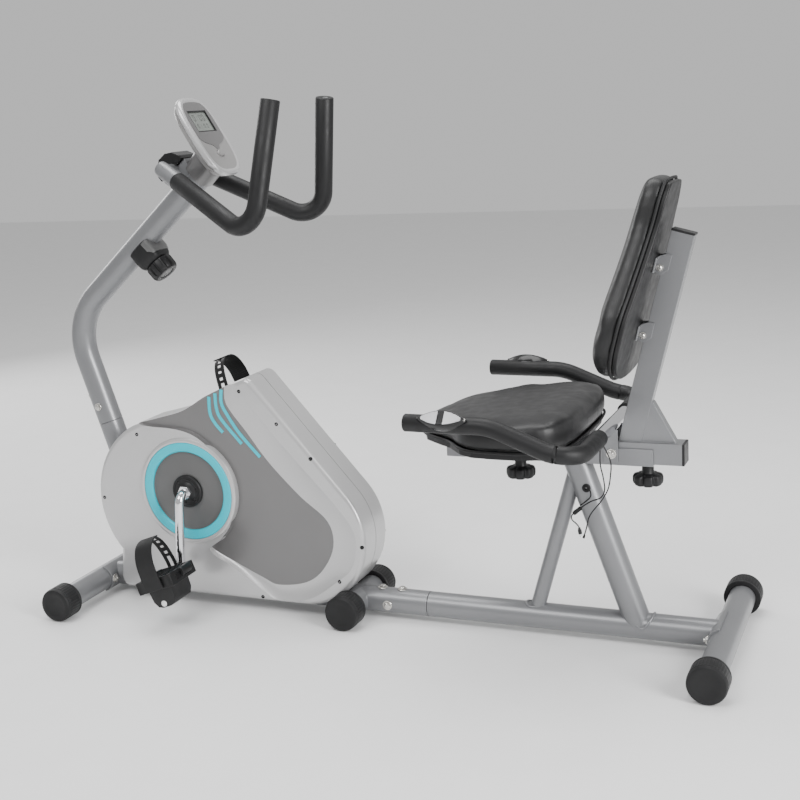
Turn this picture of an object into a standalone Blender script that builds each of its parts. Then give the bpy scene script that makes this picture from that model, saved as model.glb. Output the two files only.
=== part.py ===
"""Recumbent exercise bike. Metres; +X towards the seat, +Y the rider's right, +Z up, floor at z 0."""

import math

import bmesh
import bpy
from mathutils import Matrix, Quaternion, Vector

GAP = 0.0003                # clearance between pieces that touch
TUBE_R = 0.025              # main frame tubes, 50 mm across
WALL = 0.002                # steel tube wall
BORE_R = TUBE_R - WALL
STUB_R = BORE_R - 3 * GAP   # inner sleeve at the two joints of the frame
STUB_BORE_R = STUB_R - WALL
BEAM_Z = 0.035              # height of the floor tubes
FOOT_R = 0.035              # rubber end caps of the floor tubes
FRONT_X = -0.659
MIDDLE_X = -0.064
REAR_X = 0.659
JOINT_X = 0.0863            # where the rear beam slides into the front one
SADDLE_HALF = 0.047
CRANK = Vector((-0.412, 0.0, 0.2515))
ARM = Vector((-0.007, 0.0, -0.152))     # crank centre to the left pedal axle
PEDAL_Y = 0.100
PEDAL_TILT = Matrix.Rotation(math.radians(-20), 4, "Y")   # the pedals rest with their straps leaning forwards
FLYWHEEL = Vector((-0.165, 0.0, 0.170))
FLYWHEEL_R = 0.100
PULLEY_R = 0.096
SMALL_PULLEY_R = 0.016
BELT_LOW, BELT_HIGH = 0.023, 0.033      # belt plane, in y
MAGNET_PIN = Vector((-0.106, 0.0, 0.272))
HALF_HOUSING = 0.055
SHELL = 0.003
RING_R = 0.1115
MAST_CORNER = Vector((-0.688, 0.0, 0.589))
MAST_FOOT = Vector((-0.5273, 0.0, 0.060))
MAST_JOINT_Z = 0.3763
MAST_UP = Vector((0.755, 0.0, 0.6557))          # along the upper mast
MAST_OUT = Vector((-0.6557, 0.0, 0.755))        # forward and up from it
MAST_MARK = Vector((-0.4051, 0.0, 0.8347))      # zero of both
BAR_R = 0.0127              # hand bars, one inch
BAR_WALL = 0.0018
FOAM_R = 0.018
CLAMP = MAST_MARK + MAST_UP * 0.046 + MAST_OUT * 0.040
FACE = Vector((-0.320, 0.0, 0.9585))            # middle of the console face
FACE_UP = Vector((-0.51, 0.0, 0.8602))
FACE_OUT = Vector((0.8602, 0.0, 0.51))
RAIL_X = (0.145, 0.534)
RAIL_Z = (0.3465, 0.378)
RAIL_HALF = 0.0235
CARRIAGE_HALF = 0.020
CARRIAGE_Z = (0.350, 0.3885)
SEAT_KNOB_X = 0.282
BACK_KNOB_X = 0.5196
BACK_FOOT = Vector((0.4688, 0.0, 0.3857))
BACK_TILT = math.radians(14.75)
CROSS = Vector((0.457, 0.0, 0.4155))
ARM_Y = 0.233
SIDE_FOAM_R = 0.0155
POD_X = (0.180, 0.270)
POD_ROLL = math.radians(50)   # the pulse pods face up and outwards
LEAD_R = 0.0012

X, Y, Z = Vector((1, 0, 0)), Vector((0, 1, 0)), Vector((0, 0, 1))

for stale in list(bpy.data.objects):
    bpy.data.objects.remove(stale)

parts = bpy.data.collections.new("recumbent_bike")
cutters = bpy.data.collections.new("cutters")
bpy.context.scene.collection.children.link(parts)
bpy.context.scene.collection.children.link(cutters)
cutters.hide_render = True


def material(name, colour, metallic, roughness):
    made = bpy.data.materials.new(name)
    made.use_nodes = True
    surface = made.node_tree.nodes["Principled BSDF"]
    surface.inputs["Base Color"].default_value = (*colour, 1)
    surface.inputs["Metallic"].default_value = metallic
    surface.inputs["Roughness"].default_value = roughness
    return made


LOOKS = {
    "frame": ((0.26, 0.27, 0.29), 0.5, 0.4),
    "steel": ((0.55, 0.55, 0.56), 1.0, 0.35),
    "silver": ((0.58, 0.58, 0.60), 0.3, 0.35),
    "cyan": ((0.12, 0.72, 0.80), 0.0, 0.3),
    "black": ((0.02, 0.02, 0.02), 0.0, 0.5),
    "foam": ((0.025, 0.025, 0.028), 0.0, 0.9),
    "leather": ((0.045, 0.045, 0.048), 0.0, 0.45),
    "screen": ((0.10, 0.12, 0.12), 0.0, 0.1),
}


def place(name, data, look, origin=(0, 0, 0)):
    """A named part whose data is in world coordinates, with its origin moved to where it turns."""
    data.transform(Matrix.Translation(-Vector(origin)))
    made = bpy.data.objects.new(name, data)
    made.location = origin
    parts.objects.link(made)
    surface = material(name, *LOOKS[look])
    data.materials.append(surface)
    return made


def mesh_of(bm):
    bmesh.ops.recalc_face_normals(bm, faces=bm.faces)
    data = bpy.data.meshes.new("mesh")
    bm.to_mesh(data)
    bm.free()
    return data


def smooth(data, degrees=40):
    data.polygons.foreach_set("use_smooth", [True] * len(data.polygons))
    data.set_sharp_from_angle(angle=math.radians(degrees))
    return data


def box_mesh(low, high, matrix=None, edge=0.0):
    bm = bmesh.new()
    bmesh.ops.create_cube(bm, size=1)
    low, high = Vector(low), Vector(high)
    bmesh.ops.scale(bm, vec=high - low, verts=bm.verts)
    bmesh.ops.translate(bm, vec=(low + high) / 2, verts=bm.verts)
    if edge:
        bmesh.ops.bevel(bm, geom=bm.edges[:], offset=edge, segments=2, profile=0.5, affect="EDGES")
    if matrix:
        bmesh.ops.transform(bm, matrix=matrix, verts=bm.verts)
    return mesh_of(bm)


def rod_mesh(start, end, radius, sides=20):
    """A round bar from one point to another, with a flat of its outline facing down."""
    start, end = Vector(start), Vector(end)
    bm = bmesh.new()
    bmesh.ops.create_cone(bm, cap_ends=True, segments=sides, radius1=radius, radius2=radius,
                          depth=(end - start).length)
    turn = Z.rotation_difference(end - start).to_matrix().to_4x4()
    bmesh.ops.transform(bm, matrix=Matrix.Translation((start + end) / 2) @ turn, verts=bm.verts)
    return smooth(mesh_of(bm))


def plate_mesh(outline, low, high, axis="Y", holes=()):
    """A flat outline extruded: (x, z) pairs through y for axis Y, (y, z) through x, or (x, y) through z."""
    curve = bpy.data.curves.new("outline", "CURVE")
    curve.dimensions = "2D"
    curve.fill_mode = "BOTH"
    curve.extrude = (high - low) / 2
    for loop in (outline, *holes):
        spline = curve.splines.new("POLY")
        spline.points.add(len(loop) - 1)
        spline.use_cyclic_u = True
        for point, (u, v) in zip(spline.points, loop):
            point.co = (u, v, 0, 1)
    data = as_mesh(curve)
    middle = (low + high) / 2
    turns = {
        "Y": Matrix(((1, 0, 0, 0), (0, 0, -1, middle), (0, 1, 0, 0), (0, 0, 0, 1))),
        "X": Matrix(((0, 0, 1, middle), (1, 0, 0, 0), (0, 1, 0, 0), (0, 0, 0, 1))),
        "Z": Matrix.Translation((0, 0, middle)),
    }
    data.transform(turns[axis])
    return data


def as_mesh(curve):
    """The mesh of a curve, with its caps welded on."""
    holder = bpy.data.objects.new("holder", curve)
    parts.objects.link(holder)
    bpy.context.view_layer.update()
    data = bpy.data.meshes.new_from_object(holder.evaluated_get(bpy.context.evaluated_depsgraph_get()))
    bpy.data.objects.remove(holder)
    bm = bmesh.new()
    bm.from_mesh(data)
    bmesh.ops.remove_doubles(bm, verts=bm.verts, dist=0.00001)
    bmesh.ops.recalc_face_normals(bm, faces=bm.faces)
    bm.to_mesh(data)
    bm.free()
    return data


def bent(corners, radius, steps=5):
    """The corners joined by straight lines, each inner one rounded to the bend radius."""
    path = [Vector(corners[0])]
    for before, corner, after in zip(corners, corners[1:], corners[2:]):
        corner = Vector(corner)
        back = (Vector(before) - corner).normalized()
        ahead = (Vector(after) - corner).normalized()
        half = back.angle(ahead) / 2
        centre = corner + (back + ahead).normalized() * radius / math.sin(half)
        start = corner + back * radius / math.tan(half) - centre
        end = corner + ahead * radius / math.tan(half) - centre
        for step in range(steps + 1):
            swing = Quaternion(start.cross(end), start.angle(end) * step / steps)
            path.append(centre + swing @ start)
    path.append(Vector(corners[-1]))
    return path


def sweep_curve(path, radius, sides, caps=True):
    curve = bpy.data.curves.new("sweep", "CURVE")
    curve.dimensions = "3D"
    curve.fill_mode = "FULL"
    curve.bevel_depth = radius
    curve.bevel_resolution = (sides - 4) // 2
    curve.use_fill_caps = caps
    spline = curve.splines.new("POLY")
    spline.points.add(len(path) - 1)
    for point, place_at in zip(spline.points, path):
        point.co = (*place_at, 1)
    return curve


def bent_tube(name, path, radius, wall, look, sides=16, origin=(0, 0, 0)):
    """A hollow tube, open at both ends."""
    made = place(name, smooth(as_mesh(sweep_curve(path, radius, sides, caps=False)), 60), look, origin)
    thick = made.modifiers.new("wall", "SOLIDIFY")
    thick.thickness = wall
    thick.offset = -1
    thick.use_even_offset = True
    return made


def turned(name, profile, at, axis, look, steps=24, origin=None):
    """A piece turned on a lathe: the (r, h) profile runs down its outer side, h along the axis."""
    bm = bmesh.new()
    made = [bm.verts.new((r, 0, h)) for r, h in profile]
    closed = profile[0][0] > 0
    for first, second in zip(made, made[1:] + made[:1] if closed else made[1:]):
        bm.edges.new((first, second))
    data = bpy.data.meshes.new("profile")
    bm.to_mesh(data)
    bm.free()
    piece = bpy.data.objects.new(name, data)
    half_step = Matrix.Rotation(math.pi / steps, 4, "Z")
    turn = Z.rotation_difference(Vector(axis)).to_matrix().to_4x4()
    piece.matrix_world = Matrix.Translation(at) @ turn @ half_step
    parts.objects.link(piece)
    data.materials.append(material(name, *LOOKS[look]))
    screw = piece.modifiers.new("turn", "SCREW")
    screw.steps = screw.render_steps = steps
    screw.use_merge_vertices = True
    screw.merge_threshold = 0.00001
    screw.use_smooth_shade = True
    return piece


def boolean(target, data, operation):
    """Joins a mesh to a part or cuts it away."""
    tool = bpy.data.objects.new(target.name + "_tool", data)
    cutters.objects.link(tool)
    tool.matrix_world = Matrix.Identity(4)
    tool.hide_render = True
    tool.display_type = "WIRE"
    change = target.modifiers.new(operation.lower(), "BOOLEAN")
    change.operation = operation
    change.solver = "EXACT"
    change.object = tool


def join(target, *pieces):
    for data in pieces:
        boolean(target, data, "UNION")


def cut(target, *pieces):
    for data in pieces:
        boolean(target, data, "DIFFERENCE")


def mirrored(points, side):
    return [Vector((x, y * side, z)) for x, y, z in points]


def arc(centre, radius, start, end, steps):
    """Points on a circle between two angles in degrees."""
    angles = [math.radians(start + (end - start) * i / steps) for i in range(steps + 1)]
    return [(centre[0] + radius * math.cos(a), centre[1] + radius * math.sin(a)) for a in angles]


def on_mast(along, out, y=0.0):
    return MAST_MARK + MAST_UP * along + MAST_OUT * out + Y * y


def frame_of(x_axis, y_axis, z_axis, at):
    return Matrix.Translation(at) @ Matrix((x_axis, y_axis, z_axis)).transposed().to_4x4()


ROUND = 24          # sides of a main tube
SIDES = ((-1, "left"), (1, "right"))

# Floor frame -----------------------------------------------------------------------------------


def floor_tube(name, x, half):
    turned(name, [(TUBE_R, half), (TUBE_R, -half), (BORE_R, -half), (BORE_R, half)],
           (x, 0, BEAM_Z), Y, "frame", ROUND)


def foot_caps(prefix, x, outer, length):
    floor = length - 0.004      # depth of the cup that takes the tube
    radius = FOOT_R / math.cos(math.pi / ROUND)
    profile = [(0, length), (0.032, length), (radius, length - 0.004), (radius, 0),
               (TUBE_R + GAP, 0), (TUBE_R + GAP, floor), (0, floor)]
    for side, word in SIDES:
        turned(f"{prefix}_cap_{word}", profile, (x, side * (outer - length), BEAM_Z), (0, side, 0),
               "black", ROUND)


def saddle(x, facing):
    """The curved plate that wraps a floor tube on the side the beam comes from."""
    shell = arc((x, BEAM_Z), TUBE_R + 0.0035, -78, 78, 10)
    inner = arc((x, BEAM_Z), TUBE_R - 0.004, 78, -78, 6)
    points = [(x + (u - x) * facing, v) for u, v in shell + inner]
    return plate_mesh(points, -SADDLE_HALF, SADDLE_HALF)


def clearance_bar(x):
    return rod_mesh((x, -0.3, BEAM_Z), (x, 0.3, BEAM_Z), TUBE_R + GAP, ROUND)


floor_tube("front_stabiliser", FRONT_X, 0.204)
floor_tube("rear_stabiliser", REAR_X, 0.218)
foot_caps("front", FRONT_X, 0.209, 0.045)
foot_caps("middle", MIDDLE_X, 0.101, 0.045)
foot_caps("rear", REAR_X, 0.223, 0.045)

neck_run = (Vector((MAST_CORNER.x, 0, MAST_CORNER.z)) - MAST_FOOT).normalized()
neck_top = MAST_FOOT + neck_run * (MAST_JOINT_Z - MAST_FOOT.z) / neck_run.z
neck_low = MAST_FOOT - neck_run * 0.015

front_frame = place("front_frame", rod_mesh((FRONT_X, 0, BEAM_Z), (JOINT_X - GAP, 0, BEAM_Z), TUBE_R, ROUND),
                    "frame")
join(front_frame, saddle(FRONT_X, 1),
     rod_mesh((MIDDLE_X, -0.096, BEAM_Z), (MIDDLE_X, 0.096, BEAM_Z), TUBE_R - GAP, ROUND),
     rod_mesh(neck_low, neck_top, TUBE_R, ROUND),
     rod_mesh(neck_top - neck_run * 0.02, neck_top + neck_run * 0.06, STUB_R, ROUND))
cut(front_frame, clearance_bar(FRONT_X),
    rod_mesh((FRONT_X, 0, BEAM_Z), (0.2, 0, BEAM_Z), BORE_R, ROUND),
    rod_mesh((MIDDLE_X, -0.2, BEAM_Z), (MIDDLE_X, 0.2, BEAM_Z), BORE_R - GAP, ROUND),
    rod_mesh(neck_low, neck_top + neck_run * 0.1, STUB_BORE_R, ROUND))

rear_frame = place("rear_frame", rod_mesh((JOINT_X, 0, BEAM_Z), (REAR_X, 0, BEAM_Z), TUBE_R, ROUND), "frame")
join(rear_frame, saddle(REAR_X, -1), rod_mesh((-0.030, 0, BEAM_Z), (0.12, 0, BEAM_Z), STUB_R, ROUND))
cut(rear_frame, clearance_bar(REAR_X),
    rod_mesh((-0.1, 0, BEAM_Z), (REAR_X, 0, BEAM_Z), STUB_BORE_R, ROUND))

POST_LOW, POST_HIGH = Vector((0.4999, 0, BEAM_Z)), Vector((0.3859, 0, 0.3565))
beam_room = rod_mesh((0.1, 0, BEAM_Z), (0.62, 0, BEAM_Z), TUBE_R + GAP, ROUND)
rear_post = place("rear_post", rod_mesh(POST_LOW, POST_HIGH, TUBE_R, ROUND), "frame")
cut(rear_post, rod_mesh(POST_LOW - (POST_HIGH - POST_LOW) * 0.1, POST_HIGH * 1.1 - POST_LOW * 0.1, BORE_R, ROUND),
    beam_room, box_mesh((0.3, -0.1, RAIL_Z[0] - GAP), (0.5, 0.1, 0.5)))

BRACE_LOW, BRACE_HIGH = Vector((0.3007, 0, BEAM_Z)), Vector((0.385, 0, 0.3195))
seat_brace = place("seat_brace", rod_mesh(BRACE_LOW, BRACE_HIGH, 0.014, 16), "frame")
cut(seat_brace, beam_room.copy(), rod_mesh(POST_LOW, POST_HIGH, TUBE_R + GAP, ROUND))

# Drive inside the housing ----------------------------------------------------------------------

PLATE_LOW, PLATE_HIGH = BEAM_Z + TUBE_R + GAP, BEAM_Z + TUBE_R + 0.0043
SHELL_Y = (-0.034, 0.018)
FORK = [(-0.195, PLATE_LOW), (-0.135, PLATE_LOW), (-0.130, 0.170), (-0.095, 0.265), (-0.095, 0.281),
        (-0.117, 0.281), (-0.183, 0.195)]
inner_frame = place("inner_frame", box_mesh((-0.435, -0.030, PLATE_LOW), (-0.135, 0.043, PLATE_HIGH)), "frame")
join(inner_frame,
     rod_mesh((CRANK.x, 0, PLATE_LOW + 0.001), CRANK, 0.016, 16),
     rod_mesh(CRANK + Y * SHELL_Y[0], CRANK + Y * SHELL_Y[1], 0.026, 20),
     plate_mesh(FORK, -0.031, -0.028), plate_mesh(FORK, 0.040, 0.043),
     rod_mesh(FLYWHEEL - Y * 0.030, FLYWHEEL + Y * 0.042, 0.005, 12),
     rod_mesh(MAGNET_PIN - Y * 0.030, MAGNET_PIN + Y * 0.042, 0.004, 12))
cut(inner_frame, rod_mesh(CRANK - Y * 0.1, CRANK + Y * 0.1, 0.0105, 16))

turned("flywheel",
       [(0.014, 0.0375), (SMALL_PULLEY_R + 0.002, 0.0365), (SMALL_PULLEY_R + 0.002, 0.0345),
        (SMALL_PULLEY_R, 0.034), (SMALL_PULLEY_R, 0.022), (SMALL_PULLEY_R + 0.002, 0.0215),
        (SMALL_PULLEY_R + 0.002, 0.019), (0.030, 0.012), (0.070, 0.006), (0.076, 0.010),
        (FLYWHEEL_R - 0.001, 0.010), (FLYWHEEL_R, 0.009), (FLYWHEEL_R, -0.019), (FLYWHEEL_R - 0.001, -0.020),
        (0.076, -0.020), (0.070, -0.014), (0.020, -0.026), (0.0053, -0.026), (0.0053, 0.0375)],
       FLYWHEEL, Y, "steel", 24)
turned("drive_pulley",
       [(0.020, 0.036), (0.024, 0.030), (PULLEY_R - 0.010, 0.030), (PULLEY_R - 0.006, 0.0355),
        (PULLEY_R + 0.003, 0.0355), (PULLEY_R + 0.003, 0.0345), (PULLEY_R, 0.034), (PULLEY_R, 0.022),
        (PULLEY_R + 0.003, 0.0215), (PULLEY_R + 0.003, 0.0205), (PULLEY_R - 0.006, 0.0205),
        (PULLEY_R - 0.010, 0.026), (0.024, 0.026), (0.020, 0.019), (0.0098, 0.019), (0.0098, 0.036)],
       CRANK, Y, "black", 24)


def belt_loop(extra):
    """The open belt line round both pulleys, this far outside them."""
    big, small = (CRANK.x, CRANK.z), (FLYWHEEL.x, FLYWHEEL.z)
    span = FLYWHEEL - CRANK
    heading = math.degrees(math.atan2(span.z, span.x))
    lean = math.degrees(math.acos((PULLEY_R - SMALL_PULLEY_R) / span.length))
    return (arc(big, PULLEY_R + extra, heading + lean, heading + 360 - lean, 20)
            + arc(small, SMALL_PULLEY_R + extra, heading - lean, heading + lean, 8))


place("drive_belt", plate_mesh(belt_loop(0.0028), BELT_LOW, BELT_HIGH, holes=[belt_loop(0.0008)]), "black")

pin = (MAGNET_PIN.x, MAGNET_PIN.z)
wheel = (FLYWHEEL.x, FLYWHEEL.z)
magnet_bracket = place("magnet_bracket", plate_mesh(
    arc(wheel, FLYWHEEL_R + 0.011, 57, 150, 12) + arc(wheel, FLYWHEEL_R + 0.003, 150, 57, 12), -0.018, 0.008),
    "steel", MAGNET_PIN)
join(magnet_bracket, rod_mesh(MAGNET_PIN - Y * 0.018, MAGNET_PIN + Y * 0.008, 0.009, 16))
cut(magnet_bracket, rod_mesh(MAGNET_PIN - Y * 0.03, MAGNET_PIN + Y * 0.03, 0.0043, 12))

# Crank and pedals ------------------------------------------------------------------------------

left_pedal, right_pedal = CRANK + ARM, CRANK - ARM
crank_path = bent([left_pedal - Y * PEDAL_Y, CRANK - Y * 0.090, CRANK + Y * 0.090, right_pedal + Y * PEDAL_Y],
                  0.018)
crank = place("crank", smooth(as_mesh(sweep_curve(crank_path, 0.0085, 12))), "steel", CRANK)
for side, axle in ((-1, left_pedal), (1, right_pedal)):
    join(crank, rod_mesh(axle + Y * side * 0.092, axle + Y * side * 0.1085, 0.0125, 16),
         rod_mesh(axle + Y * side * 0.100, axle + Y * side * 0.190, 0.006, 12))

PEDAL_IN, PEDAL_OUT = 0.112, 0.198
STRAP_HALF = 0.021
for side, word, axle in ((-1, "left", left_pedal), (1, "right", right_pedal)):
    near, far = sorted((side * PEDAL_IN, side * PEDAL_OUT))
    tilt = Matrix.Translation(axle) @ PEDAL_TILT @ Matrix.Translation(-axle)
    body = box_mesh((axle.x - 0.045, near, axle.z - 0.013), (axle.x + 0.045, far, axle.z + 0.013), edge=0.004)
    body.transform(tilt)
    pedal = place(f"pedal_{word}", body, "black", axle)
    hump = [(axle.x - 0.030, axle.z - 0.005), (axle.x + 0.030, axle.z - 0.005), (axle.x + 0.026, axle.z - 0.040),
            (axle.x + 0.016, axle.z - 0.0515), (axle.x - 0.016, axle.z - 0.0515), (axle.x - 0.026, axle.z - 0.040)]
    hump = plate_mesh(hump, near + 0.012, far - 0.012)
    hump.transform(tilt)
    join(pedal, hump)
    cut(pedal, rod_mesh(axle, axle + Y * side * 0.193, 0.0064, 12))
    top = [(PEDAL_OUT + GAP, -0.010), (0.203, 0.022), (0.198, 0.055), (0.182, 0.080), (0.160, 0.0875),
           (0.140, 0.079), (0.126, 0.052), (0.120, 0.028), (0.1185, 0.0133)]
    under = [(0.1215, 0.0133), (0.123, 0.027), (0.129, 0.050), (0.142, 0.0765), (0.160, 0.0848),
             (0.1805, 0.0775), (0.1955, 0.054), (PEDAL_OUT + GAP, 0.022)]
    outline = [(side * u, axle.z + v) for u, v in [(0.2012, -0.010)] + top[1:] + under + [top[0]]]
    strap = plate_mesh(outline, axle.x - STRAP_HALF, axle.x + STRAP_HALF, "X")
    strap.transform(tilt)
    place(f"strap_{word}", strap, "black", axle)

# Housing ---------------------------------------------------------------------------------------

HOUSING = ([(-0.604, 0.028), (-0.385, 0.028)] + arc((-0.165, 0.170), 0.142, -90, 41.8, 9)
           + arc((-0.262, 0.4700), 0.020, 45, 135, 4)
           + [(-0.298, 0.4765), (-0.330, 0.4620), (-0.363, 0.4465), (-0.415, 0.4170), (-0.477, 0.3990)]
           + arc((-0.4586, 0.2235), 0.176, 110, 220, 10) + [(-0.597, 0.080)])
RECESS = [(-0.3195, 0.4457), (-0.2620, 0.3689), (-0.1114, 0.2230), (-0.0990, 0.1818), (-0.1045, 0.1390),
          (-0.1537, 0.0875), (-0.2289, 0.0696), (-0.3749, 0.1336)]
for side, word in SIDES:
    bm = bmesh.new()
    rim = [bm.verts.new((x, side * 0.0002, z)) for x, z in HOUSING]
    face = [bm.verts.new((x, side * HALF_HOUSING, z)) for x, z in HOUSING]
    for i, (first, second) in enumerate(zip(rim, rim[1:] + rim[:1])):
        bm.faces.new((first, second, face[(i + 1) % len(face)], face[i]))
    bm.faces.new(face)
    bmesh.ops.recalc_face_normals(bm, faces=bm.faces)
    middle_face = max(bm.faces, key=lambda f: f.calc_area())
    if middle_face.normal.y * side < 0:
        bmesh.ops.reverse_faces(bm, faces=bm.faces)
    data = bpy.data.meshes.new("shell")
    bm.to_mesh(data)
    bm.free()
    housing = place(f"housing_{word}", data, "silver")
    edge = housing.modifiers.new("edge", "BEVEL")
    edge.width = 0.011
    edge.segments = 3
    edge.limit_method = "ANGLE"
    edge.angle_limit = math.radians(70)
    wall = housing.modifiers.new("wall", "SOLIDIFY")
    wall.thickness = SHELL
    wall.offset = -1
    cut(housing, plate_mesh(RECESS, *sorted((side * (HALF_HOUSING - 0.0012), side * (HALF_HOUSING + 0.01)))),
        rod_mesh(CRANK + Y * side * 0.040, CRANK + Y * side * 0.070, (RING_R + GAP) / math.cos(math.pi / 36), 36),
        rod_mesh(neck_low, neck_top + neck_run * 0.1, TUBE_R + 2 * GAP, ROUND),
        rod_mesh((-0.7, 0, BEAM_Z), (0, 0, BEAM_Z), TUBE_R + 2 * GAP, ROUND))
    turned(f"ring_{word}",
           [(0.1095, 0.0105), (RING_R, 0.0085), (RING_R, 0), (0.0125, 0), (0.0125, 0.005), (0.079, 0.005),
            (0.0825, 0.0105)],
           CRANK + Y * side * 0.0505, (0, side, 0), "cyan", 36)
    turned(f"hub_cover_{word}",
           [(0.028, 0.011), (0.034, 0.008), (0.034, 0), (0.0100, 0), (0.0100, 0.011)],
           CRANK + Y * side * 0.0560, (0, side, 0), "black", 16)

# Mast, hand bar and console --------------------------------------------------------------------

mast_path = bent([neck_top + neck_run * GAP, MAST_CORNER, on_mast(0.090, 0)], 0.13, 8)
bent_tube("mast", mast_path, TUBE_R, WALL, "frame", 20)

clamp_box = frame_of(MAST_UP, Y, -MAST_OUT, on_mast(0, 0))
clamp_tool = rod_mesh(CLAMP - Y * 0.1, CLAMP + Y * 0.1, BAR_R + GAP, 16)
handlebar_clamp = place("handlebar_clamp",
                        box_mesh((0.014, -0.022, -0.0400), (0.0675, 0.022, -0.020), clamp_box), "frame")
cut(handlebar_clamp, clamp_tool, rod_mesh(on_mast(-0.05, 0), on_mast(0.15, 0), TUBE_R + GAP, ROUND))
half_round = [(CLAMP.x + 0.033 * math.cos(a), CLAMP.z + 0.033 * math.sin(a))
              for a in [math.radians(40.97 + 180 * i / 12) for i in range(13)]]
clamp_cover = place("clamp_cover", plate_mesh(half_round, -0.030, 0.030), "black")
clamp_cover.data.transform(Matrix.Translation(MAST_OUT * 2 * GAP))
cut(clamp_cover, clamp_tool.copy())

bar_half = [(-0.054, CLAMP), (-0.147, Vector((-0.164, 0, 0.769))), (-0.111, Vector((-0.125, 0, 1.0165)))]
bar_corners = [Vector((p.x, y, p.z)) for y, p in reversed(bar_half)]
bar_corners += [Vector((p.x, -y, p.z)) for y, p in bar_half]
bent_tube("handlebar_tube", bent(bar_corners, 0.030, 4), BAR_R, BAR_WALL, "black", 12, CLAMP)
for side, word in SIDES:
    leg, low, top = [Vector((p.x, side * -y, p.z)) for y, p in bar_half]
    grip_path = bent([leg.lerp(low, 0.223), low, top + (top - low).normalized() * GAP], 0.030, 4)
    bent_tube(f"grip_{word}", grip_path, FOAM_R, FOAM_R - BAR_R - 3 * GAP, "foam", 14, CLAMP)

console = frame_of(Y, FACE_UP, FACE_OUT, FACE)
console_back = place("console_back", box_mesh((-0.055, -0.083, -0.028), (0.055, 0.083, -0.0123), console, 0.005),
                     "silver")
join(console_back, rod_mesh(on_mast(0.0685, 0.003), on_mast(0.118, 0.003), 0.031, 20))
cut(console_back, rod_mesh(on_mast(0.04, 0), on_mast(0.0915, 0), TUBE_R + GAP, ROUND))
bezel_outline = [(0.058 * math.copysign(abs(math.cos(a)) ** 0.55, math.cos(a)),
                  0.086 * math.copysign(abs(math.sin(a)) ** 0.55, math.sin(a)))
                 for a in [math.tau * i / 28 for i in range(28)]]
bezel_mesh = plate_mesh(bezel_outline, -0.012, 0.0, "Z")
bezel_mesh.transform(console)
console_bezel = place("console_bezel", bezel_mesh, "silver")
WINDOW = (0.038, 0.004, 0.060)      # half width, bottom and top, up the face
cut(console_bezel, box_mesh((-WINDOW[0], WINDOW[1], -0.003), (WINDOW[0], WINDOW[2], 0.01), console),
    box_mesh((-0.0123, -0.0473, -0.006), (0.0123, -0.0327, 0.01), console))
place("console_lens", box_mesh((-WINDOW[0] + GAP, WINDOW[1] + GAP, -0.003 + GAP),
                               (WINDOW[0] - GAP, WINDOW[2] - GAP, -0.0008), console), "screen")
button_at = FACE - FACE_UP * 0.040
place("console_button", box_mesh((-0.012, -0.047, -0.0035), (0.012, -0.033, 0.002), console, 0.0012), "black",
      button_at)

tension_box = place("tension_box", box_mesh((-0.157, -0.030, -0.052), (-0.100, 0.030, -0.007),
                    frame_of(MAST_UP, -Y, MAST_OUT, on_mast(0, 0)), 0.003), "black")
cut(tension_box, rod_mesh(on_mast(-0.3, 0), on_mast(0, 0), TUBE_R + GAP, ROUND),
    rod_mesh(on_mast(-0.128, -0.040), on_mast(-0.128, -0.060), 0.0055, 12))
turned("tension_knob", [(0, 0.0285), (0.024, 0.0285), (0.0265, 0.026), (0.029, 0.002), (0.027, 0),
                        (0.005, 0), (0.005, -0.010), (0, -0.010)],
       on_mast(-0.128, -0.0525), -MAST_OUT, "black", 24)

# Seat rail, seat and back ----------------------------------------------------------------------

seat_rail = place("seat_rail", box_mesh((RAIL_X[0], -RAIL_HALF, RAIL_Z[0]), (RAIL_X[1], RAIL_HALF, RAIL_Z[1])),
                  "frame")
cut(seat_rail, box_mesh((RAIL_X[0] - 0.01, 0.003 - RAIL_HALF, RAIL_Z[0] + 0.003),
                        (RAIL_X[1] + 0.01, RAIL_HALF - 0.003, 0.5)),
    rod_mesh((SEAT_KNOB_X, 0, 0.34), (SEAT_KNOB_X, 0, 0.36), 0.0065, 12),
    rod_mesh((BACK_KNOB_X, 0, 0.34), (BACK_KNOB_X, 0, 0.36), 0.0065, 12))

CARRIAGE_WALL = 0.0025
INNER_HALF = CARRIAGE_HALF - CARRIAGE_WALL
TUBE_INSIDE = (CARRIAGE_Z[0] + CARRIAGE_WALL, CARRIAGE_Z[1] - CARRIAGE_WALL)
PAN_Z = 0.3917
seat_carriage = place("seat_carriage", box_mesh((0.150, -CARRIAGE_HALF, CARRIAGE_Z[0]),
                                                (0.370, CARRIAGE_HALF, CARRIAGE_Z[1])), "frame")
join(seat_carriage, box_mesh((0.170, -0.060, CARRIAGE_Z[1] - 0.001), (0.350, 0.060, PAN_Z)))
cut(seat_carriage, box_mesh((0.1, -INNER_HALF, TUBE_INSIDE[0]), (0.4, INNER_HALF, TUBE_INSIDE[1])))

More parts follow.
